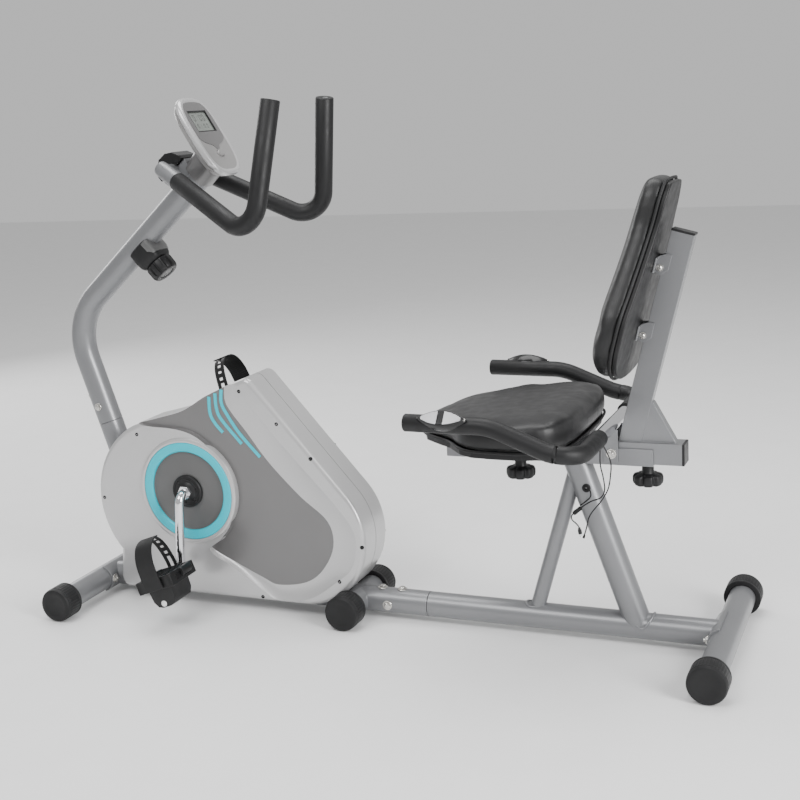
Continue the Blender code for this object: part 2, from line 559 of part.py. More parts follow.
SEAT_HALF = [(0.101, 0.0), (0.106, 0.040), (0.125, 0.080), (0.158, 0.107), (0.190, 0.130), (0.222, 0.168),
             (0.250, 0.186), (0.290, 0.190), (0.345, 0.190), (0.385, 0.176), (0.408, 0.145), (0.4165, 0.100),
             (0.419, 0.040)]
seat_outline = SEAT_HALF + [(x, -y) for x, y in reversed(SEAT_HALF[1:])]
BOARD_TOP = PAN_Z + GAP + 0.010
place("seat_board", plate_mesh([(0.26 + (x - 0.26) * 0.97, y * 0.97) for x, y in seat_outline],
                               PAN_Z + GAP, BOARD_TOP, "Z"), "black")
seat_pad = plate_mesh(seat_outline, BOARD_TOP + GAP, 0.455, "Z")
for vertex in seat_pad.vertices:
    if vertex.co.z > 0.43:
        vertex.co.z = 0.436 + (vertex.co.x - 0.10) * 0.075
seat_cushion = place("seat_cushion", seat_pad, "leather")

back_frame_of = Matrix.Translation(BACK_FOOT) @ Matrix.Rotation(BACK_TILT, 4, "Y")
POST_TOP = 0.391
back_frame = place("back_frame", box_mesh((0.375, -CARRIAGE_HALF, CARRIAGE_Z[0]),
                                          (0.585, CARRIAGE_HALF, CARRIAGE_Z[1])), "frame")
GUSSET = [(0.500, 0.3875), (0.573, 0.3875), (0.5315, 0.4610), (0.515, 0.4610)]
join(back_frame, box_mesh((0, -0.0125, 0), (0.040, 0.0125, POST_TOP), back_frame_of),
     plate_mesh(GUSSET, -0.004, 0.004))
for height in (0.208, 0.330):
    join(back_frame, box_mesh((-0.0120, -0.032, height - 0.016), (-0.0090, 0.032, height + 0.016), back_frame_of),
         box_mesh((-0.0095, -0.032, height - 0.002), (0.002, 0.032, height + 0.002), back_frame_of))
cut(back_frame, box_mesh((0.3, -INNER_HALF, TUBE_INSIDE[0]), (0.6, INNER_HALF, TUBE_INSIDE[1])),
    box_mesh((WALL, WALL - 0.0125, 0.016), (0.040 - WALL, 0.0125 - WALL, POST_TOP + 0.1), back_frame_of))

BACK_HALF = [(0.4740, 0.030), (0.4690, 0.050), (0.4386, 0.066), (0.3970, 0.072), (0.3559, 0.088),
             (0.2938, 0.120), (0.2483, 0.147), (0.2110, 0.152), (0.1800, 0.148), (0.1490, 0.125),
             (0.1280, 0.080), (0.1200, 0.030)]
back_outline = [(-y, h) for h, y in BACK_HALF] + [(y, h) for h, y in reversed(BACK_HALF)]
BACK_MIDDLE = 0.297
back_shape = [(0.96, -0.0215, -0.0123, "back_board", "black"),
              (1.00, -0.0640, -0.0218, "back_cushion", "leather")]
back_panels = []
for scale, low, high, name, look in back_shape:
    panel = plate_mesh([(u * scale, BACK_MIDDLE + (v - BACK_MIDDLE) * scale) for u, v in back_outline],
                       low, high, "X")
    panel.transform(back_frame_of)
    back_panels.append(place(name, panel, look))
for cushion in (seat_cushion, back_panels[1]):
    soft = cushion.modifiers.new("soft", "BEVEL")
    soft.width = 0.012
    soft.segments = 3
    soft.limit_method = "ANGLE"
    soft.angle_limit = math.radians(60)

KNOB = [(0.0275 - 0.0045 * (i % 4 == 2), math.tau * i / 24) for i in range(24)]
for name, x in (("seat_knob", SEAT_KNOB_X), ("back_knob", BACK_KNOB_X)):
    knob = place(name, plate_mesh([(x + r * math.cos(a), r * math.sin(a)) for r, a in KNOB], 0.307, 0.328, "Z"),
                 "black", (x, 0, 0.328))
    join(knob, rod_mesh((x, 0, 0.320), (x, 0, RAIL_Z[0] - GAP), 0.011, 16),
         rod_mesh((x, 0, 0.340), (x, 0, CARRIAGE_Z[0] - GAP), 0.006, 12))

# Side hand bars --------------------------------------------------------------------------------

side_corners = [(0.152, -ARM_Y, 0.464), (0.304, -ARM_Y, 0.463), (0.405, -ARM_Y, 0.422),
                (CROSS.x, -ARM_Y, CROSS.z), (CROSS.x, 0, CROSS.z)]
left_run = [Vector(corner) for corner in side_corners[:3]]
left_run += bent(side_corners[2:], 0.045, 5)[1:-1]
full_run = left_run + mirrored(reversed(left_run), -1)
side_handlebar = place("side_handlebar", smooth(as_mesh(sweep_curve(full_run, BAR_R - 0.0002, 12)), 60), "steel")
join(side_handlebar,
     box_mesh((0.446, -RAIL_HALF - 0.0035, 0.352), (0.468, -RAIL_HALF - GAP, 0.411)),
     box_mesh((0.446, RAIL_HALF + GAP, 0.352), (0.468, RAIL_HALF + 0.0035, 0.411)))
for side, word in SIDES:
    grip_run = mirrored(left_run, -side) + [Vector((CROSS.x, side * 0.100, CROSS.z))]
    grip_run[0].x -= GAP
    bent_tube(f"side_grip_{word}", grip_run, SIDE_FOAM_R, SIDE_FOAM_R - BAR_R - 0.0001, "foam", 12)
    pod = [(POD_X[0], 0), (POD_X[0] + 0.012, -0.012), (POD_X[0] + 0.030, -0.0165), (POD_X[1] - 0.030, -0.0165),
           (POD_X[1] - 0.010, -0.010), (POD_X[1], 0), (POD_X[1] - 0.010, 0.010), (POD_X[1] - 0.030, 0.0165),
           (POD_X[0] + 0.030, 0.0165), (POD_X[0] + 0.012, 0.012)]
    roll = Matrix.Translation((0, side * ARM_Y, 0.4637)) @ Matrix.Rotation(-side * POD_ROLL, 4, "X")
    pod = plate_mesh(pod, 0.0023, 0.0250, "Z")
    pod.transform(roll)
    pulse = place(f"pulse_sensor_{word}", pod, "black")
    cut(pulse, rod_mesh((0.1, side * ARM_Y, 0.4637), (0.35, side * ARM_Y, 0.4637), SIDE_FOAM_R + 2 * GAP, 16))

# Leads under the seat --------------------------------------------------------------------------


def eased(points, steps=4):
    """Points on a smooth line through the given ones."""
    ends = [points[0] * 2 - points[1]] + points + [points[-1] * 2 - points[-2]]
    line = []
    for a, b, c, d in zip(ends, ends[1:], ends[2:], ends[3:]):
        for step in range(steps):
            t = step / steps
            line.append(0.5 * (2 * b + (c - a) * t + (2 * a - 5 * b + 4 * c - d) * t * t
                               + (3 * b - a - 3 * c + d) * t ** 3))
    return line + [points[-1]]


TIE = (Vector((0.4103, -0.0500, 0.2728)), Vector((0.3924, -0.0500, 0.2573)))
PLUG = (Vector((0.4038, -0.0500, 0.2345)), Vector((0.4072, -0.0500, 0.2150)))
tie_run = (TIE[1] - TIE[0]).normalized()
ROUTES = {
    "pulse_lead": [(0.4565, -0.0900, 0.4022), (0.4545, -0.0850, 0.3660), (0.4576, -0.0780, 0.3387),
                   (0.4570, -0.0680, 0.3130), (0.4470, -0.0580, 0.2950), (0.4280, -0.0510, 0.2850),
                   TIE[0], TIE[1], (0.3910, -0.0500, 0.2480), (0.3985, -0.0500, 0.2410),
                   PLUG[0] + Vector((-0.0001, 0, GAP * 2))],
    "loop_lead": [(0.4600, -0.0870, 0.4023), (0.4735, -0.0880, 0.3720), (0.4728, -0.0880, 0.3450),
                  (0.4680, -0.0880, 0.3210), (0.4550, -0.0860, 0.2980), (0.4383, -0.0840, 0.2768),
                  (0.4307, -0.0820, 0.2633), (0.4257, -0.0800, 0.2443), (0.4199, -0.0800, 0.2251)],
    "post_lead": [(0.4150, -0.0275, 0.3022), (0.4225, -0.0360, 0.2990), (0.4240, -0.0420, 0.2900),
                  (0.4140, -0.0455, 0.2805), (0.4060, -0.0445, 0.2740)],
}
for name, route in ROUTES.items():
    curve = sweep_curve(eased([Vector(p) for p in route]), LEAD_R, 8)
    place(name, curve, "black")
cord_tie = place("cord_tie", rod_mesh(TIE[0] + tie_run * 0.003, TIE[1] - tie_run * 0.003, 0.0042, 12), "black")
cut(cord_tie, rod_mesh(TIE[0] - tie_run * 0.01, TIE[1] + tie_run * 0.01, LEAD_R + 0.0008, 10))
place("jack_plug", rod_mesh(PLUG[0], PLUG[1], 0.0035, 12), "black")
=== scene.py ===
"""The looks of a recumbent exercise bike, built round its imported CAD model. Metres, in the CAD's frame."""

import math

import bmesh
import bpy
from mathutils import Matrix, Quaternion, Vector


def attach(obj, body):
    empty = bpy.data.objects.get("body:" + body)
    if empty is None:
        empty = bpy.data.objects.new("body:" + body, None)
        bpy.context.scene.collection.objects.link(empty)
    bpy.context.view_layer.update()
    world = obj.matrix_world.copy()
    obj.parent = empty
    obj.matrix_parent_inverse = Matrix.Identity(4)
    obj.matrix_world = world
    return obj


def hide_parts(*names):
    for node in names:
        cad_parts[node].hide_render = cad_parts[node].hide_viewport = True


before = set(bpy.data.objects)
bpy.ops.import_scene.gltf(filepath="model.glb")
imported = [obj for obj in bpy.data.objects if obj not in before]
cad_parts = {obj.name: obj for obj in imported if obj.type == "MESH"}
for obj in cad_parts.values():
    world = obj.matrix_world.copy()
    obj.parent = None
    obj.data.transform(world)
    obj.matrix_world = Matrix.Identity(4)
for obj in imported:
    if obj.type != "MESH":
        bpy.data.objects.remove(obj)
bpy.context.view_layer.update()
X, Y, Z = Vector((1, 0, 0)), Vector((0, 1, 0)), Vector((0, 0, 1))
SIDES = ((-1, "left"), (1, "right"))

# Camera ----------------------------------------------------------------------------------------

YAW, PITCH, ROLL = 0.4074, 0.2243, 0.0578
look = Vector((-math.sin(YAW) * math.cos(PITCH), math.cos(YAW) * math.cos(PITCH), -math.sin(PITCH)))
level = Vector((math.cos(YAW), math.sin(YAW), 0))
upward = level.cross(look)
right = math.cos(ROLL) * level - math.sin(ROLL) * upward
above = math.sin(ROLL) * level + math.cos(ROLL) * upward
camera = bpy.data.objects.new("camera", bpy.data.cameras.new("camera"))
bpy.context.scene.collection.objects.link(camera)
camera.matrix_world = Matrix.Translation((1.0005, -2.2132, 0.9954)) @ Matrix((right, above,
    -look)).transposed().to_4x4()
camera.data.lens = 58.25
camera.data.sensor_width = 36
bpy.context.scene.camera = camera

# Materials -------------------------------------------------------------------------------------

CLOUD_SCALE, FINE_SCALE, FLECK_SCALE = 9.0, 54.0, 1500.0  # noise cells per metre


def material(name, colour, rough, metal=0.0, grain=None, tone=0.06, coat=0.0, kind="noise", flecks=0.0,
        shine=0.5, uneven=0.15):
    """Paint, plastic or leather, its colour and gloss uneven, with a grain (scale, depth) in relief."""
    made = bpy.data.materials.new(name)
    made.use_nodes = True
    tree = made.node_tree
    surface = tree.nodes["Principled BSDF"]
    surface.inputs["Metallic"].default_value = metal
    surface.inputs["Coat Weight"].default_value = coat
    surface.inputs["Coat Roughness"].default_value = 0.12
    surface.inputs["Specular IOR Level"].default_value = shine
    where = tree.nodes.new("ShaderNodeTexCoord")

    def add(kind_of, scale, detail=3.0):
        texture = tree.nodes.new(kind_of)
        texture.inputs["Scale"].default_value = scale
        if "Detail" in texture.inputs:
            texture.inputs["Detail"].default_value = detail
        tree.links.new(where.outputs["Object"], texture.inputs["Vector"])
        return texture

    def ramp(source, low, high):
        stops = tree.nodes.new("ShaderNodeValToRGB")
        stops.color_ramp.elements[0].position = 0.3
        stops.color_ramp.elements[1].position = 0.7
        stops.color_ramp.elements[0].color = low
        stops.color_ramp.elements[1].color = high
        tree.links.new(source, stops.inputs["Fac"])
        return stops.outputs["Color"]

    cloud = add("ShaderNodeTexNoise", CLOUD_SCALE)
    shade = [tuple(c * (1 + tone * s) for c in colour) + (1,) for s in (-1, 1)]
    base = ramp(cloud.outputs["Fac"], *shade)
    if flecks:
        specks = add("ShaderNodeTexVoronoi", FLECK_SCALE)
        mix = tree.nodes.new("ShaderNodeMix")
        mix.data_type = "RGBA"
        mix.blend_type = "SCREEN"
        mix.inputs["Factor"].default_value = flecks
        tree.links.new(base, mix.inputs["A"])
        tree.links.new(ramp(specks.outputs["Color"], (0, 0, 0, 1), (0.5, 0.5, 0.52, 1)), mix.inputs["B"])
        base = mix.outputs["Result"]
    tree.links.new(base, surface.inputs["Base Color"])
    fine = add("ShaderNodeTexNoise", FINE_SCALE)
    rough_stops = ramp(fine.outputs["Fac"], (rough * (1 - uneven),) * 3 + (1,),
        (min(1, rough * (1 + uneven)),) * 3 + (1,))
    tree.links.new(rough_stops, surface.inputs["Roughness"])
    if grain:
        relief = add("ShaderNodeTexVoronoi" if kind == "voronoi" else "ShaderNodeTexNoise", grain[0], 5.0)
        if kind == "voronoi":
            relief.feature = "DISTANCE_TO_EDGE"
        bump = tree.nodes.new("ShaderNodeBump")
        bump.inputs["Strength"].default_value = 0.6
        bump.inputs["Distance"].default_value = grain[1]
        tree.links.new(relief.outputs["Distance" if kind == "voronoi" else "Fac"], bump.inputs["Height"])
        tree.links.new(bump.outputs["Normal"], surface.inputs["Normal"])
    return made


FRAME = material("frame_paint", (0.185, 0.188, 0.195), 0.36, 0.5, (900, 0.00006), 0.05, 0.25, flecks=0.06,
    uneven=0.03)
SILVER = material("silver_paint", (0.5, 0.497, 0.5), 0.29, 0.5, (700, 0.000005), 0.02, 0.4, flecks=0.01,
    uneven=0.03)
SATIN = material("satin_silver", (0.27, 0.265, 0.262), 0.4, 0.4, (700, 0.000006), 0.02, 0.15, flecks=0.02,
    uneven=0.03)
GRAPHITE = material("graphite_paint", (0.155, 0.152, 0.152), 0.34, 0.45, (700, 0.000006), 0.03, 0.25,
    flecks=0.02, uneven=0.03)
DISH = material("dish_paint", (0.12, 0.12, 0.12), 0.42, 0.35, (700, 0.000006), 0.03, 0.1, shine=0.35,
    uneven=0.03)
CYAN = material("cyan_paint", (0.0, 0.49, 0.6), 0.34, 0.0, (700, 0.00003), 0.03, 0.15, shine=0.3)
CHROME = material("chrome", (0.78, 0.78, 0.8), 0.1, 1.0, (60, 0.00003), 0.03)
ZINC = material("zinc_plate", (0.62, 0.61, 0.58), 0.26, 1.0, (500, 0.00005), 0.1)
STEEL = material("machined_steel", (0.42, 0.42, 0.43), 0.32, 1.0, (400, 0.0001), 0.08)
PLASTIC = material("black_plastic", (0.01, 0.01, 0.0105), 0.42, 0.0, (1400, 0.0001), 0.15, shine=0.32)
GLOSS = material("gloss_black_plastic", (0.007, 0.007, 0.0075), 0.2, 0.0, (300, 0.00003), 0.1, shine=0.4)
RUBBER = material("cap_rubber", (0.011, 0.011, 0.0115), 0.52, 0.0, (1100, 0.00012), 0.15, shine=0.28)
FOAM = material("foam_sleeve", (0.0075, 0.0075, 0.008), 0.47, 0.0, (1600, 0.00018), 0.18, shine=0.34)
LEATHER = material("leatherette", (0.014, 0.014, 0.0145), 0.4, 0.0, (520, 0.00016), 0.1, kind="voronoi",
    shine=0.36)
THREAD = material("seam_thread", (0.012, 0.012, 0.0125), 0.55, 0.0, (2500, 0.0002), 0.2, shine=0.3)
SCREEN = material("display", (0.16, 0.175, 0.16), 0.16, 0.0, (30, 0.00001), 0.05, 0.6)
INK = material("display_digit", (0.02, 0.022, 0.02), 0.4, 0.0, (400, 0.00002), 0.05)
WHITE = material("reflector", (0.75, 0.75, 0.74), 0.22, 0.0, (220, 0.0004), 0.05, 0.5, kind="voronoi")

# Mesh tools ------------------------------------------------------------------------------------


def placed(at, *axes):
    """The matrix that puts the origin at this point and turns X, Y and Z onto the axes."""
    return Matrix.Translation(at) @ Matrix(axes).transposed().to_4x4()


def mm(*rows):
    """Rows of millimetres, in metres."""
    return [tuple(round(v / 1000, 7) for v in row) for row in rows]


def mesh_from(points, faces):
    """A mesh with its doubled points joined and its faces turned outwards."""
    data = bpy.data.meshes.new("mesh")
    data.from_pydata([tuple(p) for p in points], [], faces)
    bm = bmesh.new()
    bm.from_mesh(data)
    bmesh.ops.remove_doubles(bm, verts=bm.verts, dist=0.000005)
    bmesh.ops.recalc_face_normals(bm, faces=bm.faces)
    bm.to_mesh(data)
    bm.free()
    return data


def piece(name, data, look_of, body="root", replaces=(), edge=0.0, sharp=35, segments=3):
    """A visible piece: shaded smooth, its edges rounded by this much, riding on its body."""
    made = bpy.data.objects.new(name, data)
    bpy.context.scene.collection.objects.link(made)
    if look_of:
        data.materials.clear()
        data.materials.append(look_of)
    data.polygons.foreach_set("use_smooth", [True] * len(data.polygons))
    data.set_sharp_from_angle(angle=math.radians(sharp))
    if edge:
        bevel = made.modifiers.new("edge", "BEVEL")
        bevel.width = edge
        bevel.segments = segments
        bevel.limit_method = "ANGLE"
        bevel.angle_limit = math.radians(sharp)
        bevel.harden_normals = True
    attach(made, body)
    if replaces:
        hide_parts(*([replaces] if isinstance(replaces, str) else replaces))
    return made


def flattened(made):
    """Keeps broad faces shading flat beside their rounded edges."""
    weigh = made.modifiers.new("flat", "WEIGHTED_NORMAL")
    weigh.keep_sharp = True
    return made


def loft(rings, cap_start=True, cap_end=True):
    """Rings of equally many points, joined into a skin."""
    count = len(rings[0])
    points = [p for ring in rings for p in ring]
    faces = []
    for i in range(len(rings) - 1):
        for j in range(count):
            k = (j + 1) % count
            faces.append((i * count + j, i * count + k, (i + 1) * count + k, (i + 1) * count + j))
    if cap_start:
        faces.append(tuple(range(count))[::-1])
    if cap_end:
        faces.append(tuple(range((len(rings) - 1) * count, len(rings) * count)))
    return mesh_from(points, faces)


def lathe(profile, at, axis, steps=64, ripple=None):
    """A turned skin of (r, h) rows; ripple(angle, row) scales a row's radius to make ribs or lobes."""
    turn = Z.rotation_difference(Vector(axis)).to_matrix()
    rings = []
    for row, (r, h) in enumerate(profile):
        ring = []
        for k in range(steps):
            a = math.tau * k / steps
            reach = max(r, 0.00002) * (ripple(a, row) if ripple else 1)
            ring.append(Vector(at) + turn @ Vector((reach * math.cos(a), reach * math.sin(a), h)))
        rings.append(ring)
    return loft(rings, profile[0][0] < 0.0001, profile[-1][0] < 0.0001)


def ring_lathe(profile, at, axis, steps=96):
    """A turned skin whose profile closes on itself."""
    turn = Z.rotation_difference(Vector(axis)).to_matrix()
    rows = profile + profile[:1]
    rings = [[Vector(at) + turn @ Vector((r * math.cos(math.tau * k / steps),
        r * math.sin(math.tau * k / steps), h)) for k in range(steps)] for r, h in rows]
    return loft(rings, False, False)


def tube(path, radius, sides=32, caps=True):
    """A round bar along a path; radius is a number or one per point."""
    path = [Vector(p) for p in path]
    radii = radius if isinstance(radius, list) else [radius] * len(path)
    tangents = [(b - a).normalized() for a, b in zip(path, path[1:])]
    tangents = [tangents[0]] + [(a + b).normalized() for a, b in zip(tangents, tangents[1:])] + [tangents[-1]]
    normal = tangents[0].orthogonal().normalized()
    rings = []
    for i, (p, t, r) in enumerate(zip(path, tangents, radii)):
        if i:
            normal = tangents[i - 1].rotation_difference(t) @ normal
        normal = (normal - t * normal.dot(t)).normalized()
        side = t.cross(normal)
        rings.append([p + (normal * math.cos(a) + side * math.sin(a)) * r
            for a in (math.tau * k / sides for k in range(sides))])
    return loft(rings, caps, caps)


def rod(start, end, radius, sides=40):
    """A straight round bar."""
    return tube([start, end], radius, sides)


def block(low, high, matrix=None):
    """A box between two corners."""
    low, high = Vector(low), Vector(high)
    bm = bmesh.new()
    bmesh.ops.create_cube(bm, size=1)
    bmesh.ops.scale(bm, vec=high - low, verts=bm.verts)
    bmesh.ops.translate(bm, vec=(low + high) / 2, verts=bm.verts)
    if matrix:
        bmesh.ops.transform(bm, matrix=matrix, verts=bm.verts)
    data = bpy.data.meshes.new("block")
    bm.to_mesh(data)
    bm.free()
    return data


def plate(outline, low, high, axis="Y", matrix=None):
    """An outline extruded: (x, z) through y, (y, z) through x, or (x, y) through z."""
    make = {"Y": lambda u, v, w: Vector((u, w, v)), "X": lambda u, v, w: Vector((w, u, v)),
        "Z": lambda u, v, w: Vector((u, v, w))}[axis]
    data = loft([[make(u, v, low) for u, v in outline], [make(u, v, high) for u, v in outline]])
    if matrix:
        data.transform(matrix)
    return data


def merged(*meshes):
    """Several meshes as one."""
    bm = bmesh.new()
    for data in meshes:
        bm.from_mesh(data)
    data = bpy.data.meshes.new("merged")
    bm.to_mesh(data)
    bm.free()
    return data


def solid_result(data, tools):
    """The mesh left when each (operation, tool) is applied."""
    holder = bpy.data.objects.new("holder", data)
    bpy.context.scene.collection.objects.link(holder)
    helpers = []
    for operation, tool_data in tools:
        tool = bpy.data.objects.new("tool", tool_data)
        bpy.context.scene.collection.objects.link(tool)
        helpers.append(tool)
        change = holder.modifiers.new("change", "BOOLEAN")
        change.operation = operation
        change.solver = "MANIFOLD"
        change.material_mode = "TRANSFER"
        change.object = tool
    bpy.context.view_layer.update()
    made = bpy.data.meshes.new_from_object(holder.evaluated_get(bpy.context.evaluated_depsgraph_get()))
    for helper in (holder, *helpers):
        bpy.data.objects.remove(helper)
    bm = bmesh.new()
    bm.from_mesh(made)
    bmesh.ops.dissolve_degenerate(bm, edges=bm.edges, dist=0.000003)
    bmesh.ops.dissolve_limit(bm, angle_limit=math.radians(0.3), verts=bm.verts, edges=bm.edges,
        delimit={"MATERIAL"})
    bm.to_mesh(made)
    bm.free()
    return made


def cut(data, *tools):
    """The mesh with each tool taken away."""
    return solid_result(data, [("DIFFERENCE", tool) for tool in tools])


def bent(corners, radii, steps=10):
    """The corners joined by straight lines, each inner one rounded."""
    corners = [Vector(c) for c in corners]
    if not isinstance(radii, list):
        radii = [radii] * (len(corners) - 2)
    path = [corners[0]]
    for before, corner, after, radius in zip(corners, corners[1:], corners[2:], radii):
        back, ahead = (before - corner).normalized(), (after - corner).normalized()
        half = back.angle(ahead) / 2
        centre = corner + (back + ahead).normalized() * radius / math.sin(half)
        start = corner + back * radius / math.tan(half) - centre
        end = corner + ahead * radius / math.tan(half) - centre
        for step in range(steps + 1):
            path.append(centre + Quaternion(start.cross(end), start.angle(end) * step / steps) @ start)
    path.append(corners[-1])
    return path


def eased(points, steps=4, closed=False):
    """Points on a smooth line through the given ones."""
    points = [Vector(p) for p in points]
    if closed:
        ends = [points[-1]] + points + points[:2]
    else:
        ends = [points[0] * 2 - points[1]] + points + [points[-1] * 2 - points[-2]]
    line = []
    for a, b, c, d in zip(ends, ends[1:], ends[2:], ends[3:]):
        for step in range(steps):
            t = step / steps
            bend, twist = 2 * a - 5 * b + 4 * c - d, 3 * b - a - 3 * c + d
            line.append(0.5 * (2 * b + (c - a) * t + bend * t * t + twist * t ** 3))
    return line if closed else line + [points[-1]]


def eased_flat(points, steps, closed=False):
    """The same for points in a plane."""
    return [(p.x, p.y) for p in eased([(u, v, 0) for u, v in points], steps, closed)]


def arc(centre, radius, start, end, steps):
    """Points on a flat arc, its angles in degrees."""
    angles = [math.radians(start + (end - start) * i / steps) for i in range(steps + 1)]
    return [(centre[0] + radius * math.cos(a), centre[1] + radius * math.sin(a)) for a in angles]


def inset(outline, distance):
    """A closed outline moved inwards."""
    count = len(outline)
    turn = sum(a[0] * b[1] - b[0] * a[1] for a, b in zip(outline, outline[1:] + outline[:1]))
    sign = 1 if turn > 0 else -1
    moved = []
    for i in range(count):
        before, here, after = (Vector(outline[(i + k) % count]) for k in (-1, 0, 1))
        first, second = (here - before).normalized(), (after - here).normalized()
        normal = Vector((-(first.y + second.y), first.x + second.x)) * sign
        normal.normalize()
        spread = max(0.5, normal.dot(Vector((-first.y, first.x)) * sign))
        moved.append(tuple(here + normal * distance / spread))
    return moved


def resampled(outline, spacing):
    """A closed outline with points this far apart."""
    line = []
    for a, b in zip(outline, outline[1:] + outline[:1]):
        a, b = Vector(a), Vector(b)
        parts = max(1, round((b - a).length / spacing))
        line += [tuple(a.lerp(b, i / parts)) for i in range(parts)]
    return line


# Small fasteners -------------------------------------------------------------------------------


def bolt(name, at, axis, size=0.0065, body="root", nut=False):
    """A hex head on a washer, or a nut with its bolt's end."""
    hexagon = math.tau / 6
    top = [(0, 0.0052), (size * 0.72, 0.0052)] if not nut else [(0, 0.0085), (size * 0.5, 0.008),
        (size * 0.52, 0.0052), (size * 0.72, 0.0052)]
    head = lathe(top + [(size, 0.0042), (size, 0.0012)], at, axis, 36,
        lambda a, row: 1 if row < len(top) else 1 / math.cos((a % hexagon) - hexagon / 2) * 0.95)
    washer = lathe([(size * 0.6, 0.0014), (size * 1.45, 0.0014), (size * 1.5, 0.001), (size * 1.5, -0.0004)],
        at, axis, 36)
    return piece(name, merged(head, washer), ZINC, body, sharp=30)


def screw(name, at, axis, radius=0.0042, look_of=GLOSS, body="root"):
    """A cross-head screw."""
    head = lathe([(0, 0.0016), (radius * 0.6, 0.0014), (radius * 0.92, 0.0007), (radius, -0.0004),
        (radius, -0.0025), (0, -0.0025)], at, axis, 28)
    turn = Z.rotation_difference(Vector(axis)).to_matrix().to_4x4()
    cross = [block((-radius * 0.55, -radius * 0.12, 0.0004), (radius * 0.55, radius * 0.12, 0.01),
        Matrix.Translation(at) @ turn @ Matrix.Rotation(angle, 4, "Z")) for angle in (0.4, 0.4 + math.pi / 2)]
    return piece(name, cut(head, *cross), look_of, body)


# Where the CAD puts things ---------------------------------------------------------------------

BEAM_Z = 0.035
TUBE_R = 0.025
FRONT_X, MIDDLE_X, REAR_X, JOINT_X = -0.659, -0.064, 0.659, 0.0863
CRANK = Vector((-0.412, 0, 0.2515))
ARM = Vector((-0.007, 0, -0.152))
MAST_CORNER = Vector((-0.688, 0, 0.589))
MAST_FOOT = Vector((-0.5273, 0, 0.06))
NECK = (MAST_CORNER - MAST_FOOT).normalized()
NECK_TOP = MAST_FOOT + NECK * (0.3763 - 0.06) / NECK.z
MAST_UP, MAST_OUT = Vector((0.755, 0, 0.6557)), Vector((-0.6557, 0, 0.755))
MAST_MARK = Vector((-0.4051, 0, 0.8347))
FACE = Vector((-0.32, 0, 0.9585))
FACE_UP, FACE_OUT = Vector((-0.51, 0, 0.8602)), Vector((0.8602, 0, 0.51))
BACK_FOOT, BACK_TILT = Vector((0.4688, 0, 0.3857)), math.radians(14.75)
CROSS, ARM_Y = Vector((0.457, 0, 0.4155)), 0.233
CONSOLE = placed(FACE, Y, FACE_UP, FACE_OUT)
MAST_FRAME = placed(MAST_MARK, MAST_UP, -Y, MAST_OUT)
BACK = Matrix.Translation(BACK_FOOT) @ Matrix.Rotation(BACK_TILT, 4, "Y")


def on_mast(along, out, y=0.0):
    """A point this far up the mast from its mark, and out from its axis."""
    return MAST_MARK + MAST_UP * along + MAST_OUT * out + Y * y


CLAMP = on_mast(0.046, 0.04)

# Leads under the seat --------------------------------------------------------------------------

LEAD_R = 0.0012
TIE = (Vector((0.4103, -0.05, 0.2728)), Vector((0.3924, -0.05, 0.2573)))
PLUG = (Vector((0.4038, -0.05, 0.2345)), Vector((0.4072, -0.05, 0.215)))
ROUTES = {"pulse_lead": [(0.4565, -0.09, 0.4022), (0.4545, -0.085, 0.366), (0.4576, -0.078, 0.3387),
    (0.457, -0.068, 0.313), (0.447, -0.058, 0.295), (0.428, -0.051, 0.285), TIE[0], TIE[1],
    (0.391, -0.05, 0.248), (0.3985, -0.05, 0.241), PLUG[0] + Vector((-0.0001, 0, 0.0006))],
    "loop_lead": mm((460, -87, 402.3), (473.5, -88, 372), (472.8, -88, 345), (468, -88, 321),
    (455, -86, 298), (438.3, -84, 276.8), (430.7, -82, 263.3), (425.7, -80, 244.3), (419.9, -80, 225.1)),
    "post_lead": mm((415, -27.5, 302.2), (422.5, -36, 299), (424, -42, 290), (414, -45.5, 280.5),
    (406, -44.5, 274)), }


def along(path, shape, look_of, name):
    """A small turned piece on the line from the first point to the second."""
    start, end = path
    return piece(name, lathe(shape, start, (end - start).normalized(), 32), look_of, "root",
        sharp=40)


plug_length = (PLUG[1] - PLUG[0]).length
plug = along(PLUG, mm((0, 0.4), (1.8, 0.4), (2.4, 3), (3.3, 6), (3.5, 7), (3.5, 12.5), (3, 12.8), (3, 13.4)),
    PLASTIC, "jack_body")
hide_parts("jack_plug")
tip = piece("jack_tip", lathe([(0.003, 0.0134), (0.0017, 0.0135), (0.0017, 0.0168), (0.0014, 0.017),
    (0.0017, 0.0172), (0.0017, 0.0184), (0.0011, 0.0189), (0.0013, 0.0193), (0, plug_length)], PLUG[0],
    (PLUG[1] - PLUG[0]).normalized(), 24), CHROME, "root")
tie_axis = (TIE[1] - TIE[0]).normalized()
tie = piece("tie_wrap", lathe(mm((1.5, 3), (3.6, 3), (4.2, 4.5), (3.7, 6), (4.2, 7.5), (3.6, 9), (4.2, 10.5),
    (3.7, 12), (4.2, 14), (4.2, 18), (3.6, 20.5), (1.5, 20.5)), TIE[0], tie_axis, 24), PLASTIC, "root",
    "cord_tie")
boot_end = Vector(ROUTES["loop_lead"][-1])
boot_run = (boot_end - Vector(ROUTES["loop_lead"][-2])).normalized()
boot = piece("loop_end", lathe(mm((1.3, -6), (1.9, -6), (2.1, -1), (2.1, 0), (0, 0.3)), boot_end, boot_run,
    20), PLASTIC, "root")
for lead, route in ROUTES.items():
    line = eased(route, 6)
    made = piece(lead + "_wire", tube(line, LEAD_R, 16), PLASTIC, "root", lead, sharp=60)

# Frame tubes -----------------------------------------------------------------------------------


def cross_tube(name, x, half, node):
    """A tube across the floor, this far to each side."""
    piece(name, rod((x, -half, BEAM_Z), (x, half, BEAM_Z), TUBE_R, 64), FRAME, "root", node)


